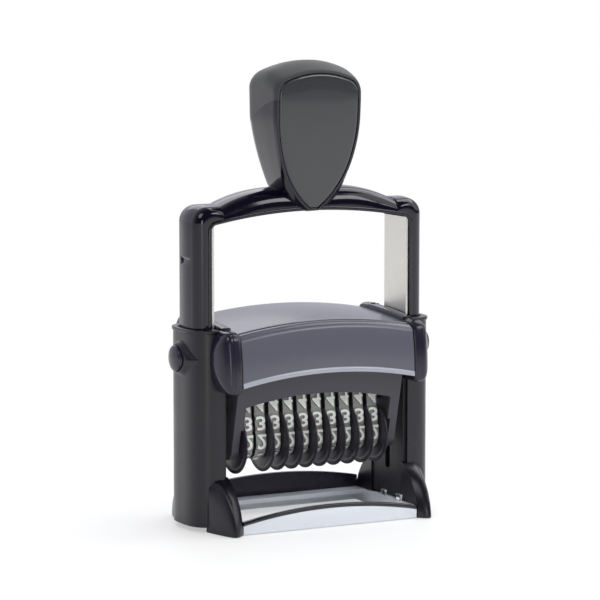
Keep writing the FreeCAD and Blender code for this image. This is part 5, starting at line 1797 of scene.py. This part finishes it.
@dataclass
class Window:
    """Clear ring round the imprint, with an arched front wall, a thick bead and upright tabs."""

    half: float = 33.895
    front_y: float = -22.2
    rear_y: float = 20.9
    top_z: float = 4.5
    plate: float = 1.5
    skirt: float = 1.2
    bulge: float = 1.8
    bulge_half: float = 10.0
    opening_front: float = -18.9
    opening_rear: float = 14.6
    arch_top: float = 7.95
    bead_height: float = 1.5
    bead_step: float = 0.3
    tab_thick: float = 0.9
    tab_length: float = 3.6
    tab_top: float = 6.7
    tab_front: float = -12.0
    tab_step: float = 0.2
    inner_tab: tuple[float, float] = (34.645, 3.0)

    def outline(self, half: float, front: float, rear: float) -> list[Flat]:
        """Plan outline with bulging short sides.

        Args:
            half: Half length.
            front: Y of the front.
            rear: Y of the rear.

        Returns:
            Points, as many for every size.
        """
        turn = self.bulge_half
        right = trace((0.0, front), (half, front), (half, -turn), ((half + self.bulge, 0.0), (half, turn)),
                      (half, rear), (0.0, rear), steps=8)
        return right + [(-x, y) for x, y in right[-2:0:-1]]

    def rim(self) -> bpy.types.Object:
        """Ring with its skirt, hollow below.

        Returns:
            The ring.
        """
        inside, front, under = self.half - self.skirt, self.front_y + self.plate, self.top_z - self.plate
        outer = (self.half, front, self.rear_y)
        opening = (inside, self.opening_front, self.opening_rear)
        hollow = (inside + 0.02, front + 0.4, self.rear_y - self.skirt)
        loops = [(outer, 0.0), (outer, self.top_z), (opening, self.top_z), (opening, under),
                 (hollow, under), (hollow, 0.0)]
        rings = [[(x, y, z) for x, y in self.outline(*plan)] for plan, z in loops]
        return soften(skin("window_rim", rings, 25.0, looped=True), 0.12, 2)

    def arch(self, top: float, ends: float) -> list[Flat]:
        """Arc over the length of the window."""
        return trace((-self.half, ends), ((0.0, top), (self.half, ends)), steps=40)

    def wall(self) -> bpy.types.Object:
        """Arched front wall.

        Returns:
            The wall.
        """
        line = self.arch(self.arch_top - self.bead_height * 0.5, self.top_z - self.bead_height * 0.5)
        stations = [(0.0, 0.3), (0.3, 0.0), (self.plate - 0.3, 0.0), (self.plate, 0.3)]
        rings = []
        for depth, draw in stations:
            foot = [(x, draw) for x, _ in line[::-1]]
            rings.append([(x, self.front_y + depth, z) for x, z in line + foot])
        return skin("window_wall", rings, 30.0)

    def bead(self) -> bpy.types.Object:
        """Rounded bead along the top of the front wall.

        Returns:
            The bead.
        """
        low, high = self.front_y - self.bead_step, self.front_y + self.plate + self.bead_step
        middle, half = (low + high) / 2, (high - low) / 2
        sides, square = 20, 0.6
        rings = []
        for x, z in self.arch(self.arch_top, self.top_z):
            centre = z - self.bead_height / 2
            ring = []
            for k in range(sides):
                angle = math.tau * k / sides
                across, up = math.cos(angle), math.sin(angle)
                ring.append((x, middle + half * math.copysign(abs(across) ** square, across),
                             centre + self.bead_height / 2 * math.copysign(abs(up) ** square, up)))
            rings.append(ring)
        return soften(skin("window_bead", rings, 50.0), 0.25)

    def tab(self, hand: int, x: float, y: float, top: float, length: float) -> bpy.types.Object:
        """Upright tab with a rounded, sloping top.

        Args:
            hand: 1 for the right side, -1 for its mirror image.
            x: Outer face.
            y: Front end.
            top: Height of the top.
            length: Length along Y.

        Returns:
            The tab.
        """
        low = self.top_z - 0.3
        far = y + length
        outline = trace((y, low), (far, low), (far, top - 0.9), ((far - 0.25, top - 0.3), (far - 0.9, top)),
                        (y + 0.3, top - 0.15), (y, top - 0.5), steps=4)
        rings = [[(hand * end, a, b) for a, b in outline] for end in (x - self.tab_thick, x)]
        side = "right" if hand > 0 else "left"
        return soften(skin(f"window_tab_{side}_{'front' if y < 0 else 'inner'}", rings, 30.0), 0.15, 2)

    def build(self) -> list[bpy.types.Object]:
        """Build and dress the window.

        Returns:
            The pieces.
        """
        rim, wall, bead = self.rim(), self.wall(), self.bead()
        tabs = []
        for hand in (-1, 1):
            x, length = self.inner_tab
            tabs.append(self.tab(hand, self.half + self.tab_step, self.tab_front, self.tab_top,
                                 self.tab_length))
            tabs.append(self.tab(hand, x, 0.0, self.tab_top - self.bead_step, length))
        # Ring and front wall take the pale finish: painted light for the lit floor seen through them.
        for piece in (rim, wall):
            Material.CLEAR_WALL.dress(piece)
        for piece in tabs:
            Material.CLEAR_PLASTIC.dress(piece)
        # The bead's near black is a painted dark reflection of the frame behind it.
        Material.CLEAR_EDGE.dress(bead)
        for piece in (rim, wall, bead, *tabs):
            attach(piece, "base")
        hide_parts("positioning_window")
        return [rim, wall, bead, *tabs]


@dataclass
class Springs:
    """Compression springs of round wire with closed ends: two in the legs, two under the buttons."""

    centre_x: float = 41.275
    low: float = 3.0
    high: float = 80.0
    diameter: float = 4.8
    wire: float = 0.7
    turns: float = 30.0
    closed_turns: float = 0.8
    closed_rise: float = 0.8
    stroke: float = 30.0
    button_z: float = 59.0
    button_ends: Flat = (45.995, 48.645)
    button_diameter: float = 4.4
    button_wire: float = 0.4
    button_turns: float = 3.0
    button_travel: float = 1.4
    sides: int = 8
    steps: int = 20

    def wound(self, radius: float, wire: float, length: float, turns: float) -> list[list[Point]]:
        """Rings of wire round an axis.

        Args:
            radius: From the axis to the middle of the wire.
            wire: Diameter of the wire.
            length: Length over the ends.
            turns: Number of turns.

        Returns:
            Rings of points as (across, across, along).
        """
        count = round(turns * self.steps)
        closed, dead = self.closed_turns * self.steps, self.closed_rise * wire
        rise = (length - wire - 2 * dead) / (count - 2 * closed)
        rings, along = [], wire / 2
        for k in range(count + 1):
            angle = math.tau * k / self.steps
            ring = []
            for side in range(self.sides):
                turn = math.tau * side / self.sides
                out = radius + wire / 2 * math.cos(turn)
                ring.append((out * math.cos(angle), out * math.sin(angle), along + wire / 2 * math.sin(turn)))
            rings.append(ring)
            ended = k < closed or k >= count - closed
            along += dead / closed if ended else rise
        return rings

    def build(self) -> list[bpy.types.Object]:
        """Wind, dress and place the springs.

        Returns:
            The springs.
        """
        made = []
        for hand, side in ((-1, "left"), (1, "right")):
            span, (near, far) = self.high - self.low, self.button_ends
            rings = [[(hand * self.centre_x + a, b, self.low + c) for a, b, c in ring]
                     for ring in self.wound((self.diameter - self.wire) / 2, self.wire, span, self.turns)]
            long = skin(f"{side}_leg_spring", rings, 60.0)
            coil = self.wound((self.button_diameter - self.button_wire) / 2, self.button_wire, far - near,
                              self.button_turns)
            rings = [[(hand * (near + c), a, self.button_z + b) for a, b, c in ring] for ring in coil]
            short = skin(f"{side}_button_spring_coil", rings, 60.0)
            for spring in (long, short):
                Material.SPRING_STEEL.dress(spring)
                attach(spring, "base")
            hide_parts(f"{side}_return_spring")
            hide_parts(f"{side}_button_spring")
            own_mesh(long)
            span = far - near
            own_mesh(short)
            made += [long, short]
        return made


@dataclass
class Core:
    """Bar inside the number bands: printing edge above, a tapering web down to the wheels."""

    row: NumberRow = field(default_factory=NumberRow)
    half_length: float = 29.3
    top: float = 59.95
    edge_depth: float = 2.0
    front: float = -2.35
    rear: float = 8.15
    corner: float = 0.95
    web_low: float = 40.3
    web_front: float = -4.6
    web_rear: float = 3.4
    rib_low: float = 34.0
    rib_front: float = -5.3
    rib_rear: float = 2.6
    rib_draw: float = 0.3
    rib_overlap: float = 0.5

    def build(self) -> list[bpy.types.Object]:
        """Build and dress the bar.

        Returns:
            The bar.
        """
        bend = self.corner * (1 - math.sqrt(0.5))
        low = self.top - self.edge_depth
        outline = trace((self.front, low), (self.front, self.top - self.corner),
                        ((self.front + bend, self.top - bend), (self.front + self.corner, self.top)),
                        (self.rear - self.corner, self.top),
                        ((self.rear - bend, self.top - bend), (self.rear, self.top - self.corner)),
                        (self.rear, low), (self.web_rear, self.web_low), (self.web_front, self.web_low),
                        (self.front, low), steps=6)[:-1]
        ends = (-self.half_length, self.half_length)
        bar = skin("band_core", [[(x, y, z) for y, z in outline] for x in ends], 28.0)
        high = self.web_low + self.rib_overlap
        rib = [(self.web_front, high), (self.web_rear, high), (self.rib_rear, self.rib_low),
               (self.rib_front, self.rib_low)]
        for index in range(self.row.count):
            first = self.row.band_start(index) + self.rib_draw
            ends = (first, first + self.row.band_width - 2 * self.rib_draw)
            piece = skin(f"band_{index + 1:02d}_rib", [[(x, y, z) for y, z in rib] for x in ends], 28.0)
            Material.INNER_BLACK.dress(piece)
            piece.parent = bar
        Material.INNER_BLACK.dress(soften(bar, 0.2, 2, 50.0))
        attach(bar, "number_unit")
        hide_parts("platen")
        return [bar]


@dataclass
class Studio:
    """Plain white floor, soft lamps, and the camera at the photograph's viewing angle."""

    eye: Vector = field(default_factory=lambda: Vector((-0.47405, -0.89054, 0.19414)))
    yaw: float = math.radians(28.0026)
    pitch: float = math.radians(6.6594)
    focal_px: float = 2916.4
    floor_radius: float = 3.0
    floor_sides: int = 96
    floor_drop: float = 0.0002
    air_light: float = 0.66
    front_glow: float = 0.06
    rear_glow: float = 1.0
    near_glow: float = 0.45

    def camera(self) -> bpy.types.Object:
        """Place the camera.

        Returns:
            The scene's camera.
        """
        data = bpy.data.cameras.new("camera")
        data.sensor_width = 36.0
        data.lens = self.focal_px * 36.0 / IMAGE_SIDE
        data.clip_start, data.clip_end = 0.05, 20.0
        camera = bpy.data.objects.new("camera", data)
        ahead = Vector((math.sin(self.yaw) * math.cos(self.pitch),
                        math.cos(self.yaw) * math.cos(self.pitch), -math.sin(self.pitch)))
        camera.rotation_mode = "QUATERNION"
        camera.rotation_quaternion = ahead.to_track_quat("-Z", "Y")
        camera.location = self.eye
        bpy.context.collection.objects.link(camera)
        bpy.context.scene.camera = camera
        return camera

    def lamp(self, name: str, place: Point, size: float, watts: float) -> None:
        """Hang a square soft lamp that faces the object.

        Args:
            name: Lamp's name.
            place: Position in metres.
            size: Side of the square in metres.
            watts: Power.
        """
        data = bpy.data.lights.new(name, "AREA")
        data.size = size
        data.energy = watts
        lamp = bpy.data.objects.new(name, data)
        lamp.location = place
        lamp.rotation_mode = "QUATERNION"
        lamp.rotation_quaternion = (Vector((0, 0, 0.08)) - lamp.location).to_track_quat("-Z", "Y")
        bpy.context.collection.objects.link(lamp)

    def looked_at(self, tree: bpy.types.NodeTree, path: bpy.types.Node) -> bpy.types.Node:
        """Node that gives 1 where the eye looks, bare or through clear plastic, and 0 elsewhere."""
        return add_node(tree, "ShaderNodeMath", operation="MAXIMUM",
                        links={0: path.outputs["Is Camera Ray"], 1: path.outputs["Is Transmission Ray"]})

    def air(self) -> None:
        """Surroundings: white to the eye and through clear plastic, a bright wall behind for reflections."""
        world = bpy.data.worlds.new("studio air")
        world.use_nodes = True
        tree = world.node_tree
        tree.nodes.clear()
        path = add_node(tree, "ShaderNodeLightPath")
        seen = self.looked_at(tree, path)
        place = add_node(tree, "ShaderNodeTexCoord").outputs["Generated"]
        facing = add_node(tree, "ShaderNodeSeparateXYZ", links={0: place})
        glow = {"From Min": -0.35, "From Max": 0.75, "To Min": self.front_glow, "To Max": self.rear_glow}
        behind = add_node(tree, "ShaderNodeMapRange", glow, {"Value": facing.outputs["Y"]},
                          interpolation_type="SMOOTHSTEP")
        glossy = add_node(tree, "ShaderNodeBackground", {"Color": (0.88, 0.88, 1, 1)},
                          {"Strength": behind.outputs["Result"]})
        light = add_node(tree, "ShaderNodeBackground", {"Color": (1, 1, 1, 1), "Strength": self.air_light})
        white = add_node(tree, "ShaderNodeBackground", {"Color": (1, 1, 1, 1), "Strength": 1.0})
        lit = add_node(tree, "ShaderNodeMixShader",
                       links={0: path.outputs["Is Glossy Ray"], 1: light.outputs[0], 2: glossy.outputs[0]})
        both = add_node(tree, "ShaderNodeMixShader",
                        links={0: seen.outputs[0], 1: lit.outputs[0], 2: white.outputs[0]})
        add_node(tree, "ShaderNodeOutputWorld", links={"Surface": both.outputs[0]})
        bpy.context.scene.world = world

    def floor(self) -> None:
        """White floor that takes the object's shadow and fades to plain white far from it."""
        mesh = bpy.data.meshes.new("floor")
        turns = [math.tau * k / self.floor_sides for k in range(self.floor_sides)]
        rim = [(self.floor_radius * math.cos(a), self.floor_radius * math.sin(a), 0) for a in turns]
        mesh.from_pydata(rim, [], [tuple(range(self.floor_sides))])
        floor = link("floor", mesh)
        floor.location = (0, 0, -self.floor_drop)
        material = bpy.data.materials.new("matt white studio floor")
        material.use_nodes = True
        tree = material.node_tree
        shader = tree.nodes["Principled BSDF"]
        shader.inputs["Base Color"].default_value = (0.93, 0.935, 0.945, 1)
        shader.inputs["Roughness"].default_value = 0.55
        place = add_node(tree, "ShaderNodeTexCoord").outputs["Object"]
        reach = add_node(tree, "ShaderNodeVectorMath", links={0: place}, operation="LENGTH").outputs["Value"]
        glow = {"From Min": 0.1, "From Max": 0.5, "To Min": self.near_glow, "To Max": 1.0}
        fade = add_node(tree, "ShaderNodeMapRange", glow, {"Value": reach}, interpolation_type="SMOOTHSTEP")
        white = add_node(tree, "ShaderNodeEmission", {"Color": (1, 1, 1, 1), "Strength": 1.0})
        seen = self.looked_at(tree, add_node(tree, "ShaderNodeLightPath"))
        shown = add_node(tree, "ShaderNodeMath", operation="MULTIPLY",
                         links={0: fade.outputs["Result"], 1: seen.outputs["Value"]})
        both = add_node(tree, "ShaderNodeMixShader",
                        links={0: shown.outputs["Value"], 1: shader.outputs[0], 2: white.outputs[0]})
        tree.links.new(both.outputs[0], tree.nodes["Material Output"].inputs["Surface"])
        mesh.materials.append(material)

    def build(self) -> None:
        """Set up the whole studio."""
        self.camera()
        self.lamp("key lamp", (-1.1, -0.9, 1.5), 1.0, 9.0)
        self.lamp("soft box", (0.9, 0.16, 1.35), 1.0, 9.0)
        self.lamp("fill lamp", (1.35, -0.6, 0.8), 1.2, 7.0)
        self.lamp("front strip", (0.8, -1.28, 0.85), 0.5, 4.5)
        self.lamp("low front lamp", (-0.35, -1.2, 0.16), 0.3, 1.2)
        self.lamp("rear lamp", (0.3, 1.4, 1.2), 1.0, 4.0)
        bpy.context.scene.view_settings.view_transform = "Standard"
        self.air()
        self.floor()


# Pieces shown as their CAD node: finish and width of the edge rounding in millimetres.
NODE_FINISHES: dict[str, tuple[Material, float]] = {
    "left_guide_plate": (Material.INNER_BLACK, 0.2), "right_guide_plate": (Material.INNER_BLACK, 0.2),
    "rear_wall": (Material.CHEEK_BLACK, 0.3),
    "cartridge_tray": (Material.INNER_BLACK, 0.2),
    "unit_frame": (Material.FRAME_GREY, 0.2),
    "wheel_axle": (Material.STEEL, 0.15), "pivot_pins": (Material.STEEL, 0.1),
    "cam_pins": (Material.STEEL, 0.1),
}


def main() -> None:
    """Build the scene piece by piece."""
    logging.basicConfig(level=logging.INFO, format="%(name)s: %(message)s")
    for node, (material, width) in NODE_FINISHES.items():
        LOG.info("CAD node: %s", finish_node(node, material, width).name)
    parts = (Bow(), Grip(), Column(-1), Column(1), Cover(), Cheek(-1), Cheek(1), Window(), Springs(),
             Core(), NumberRow())
    for part in parts:
        for piece in part.build():
            LOG.info("%s: %s", type(part).__name__, piece.name)
    Studio().build()


if __name__ == "__main__":
    main()
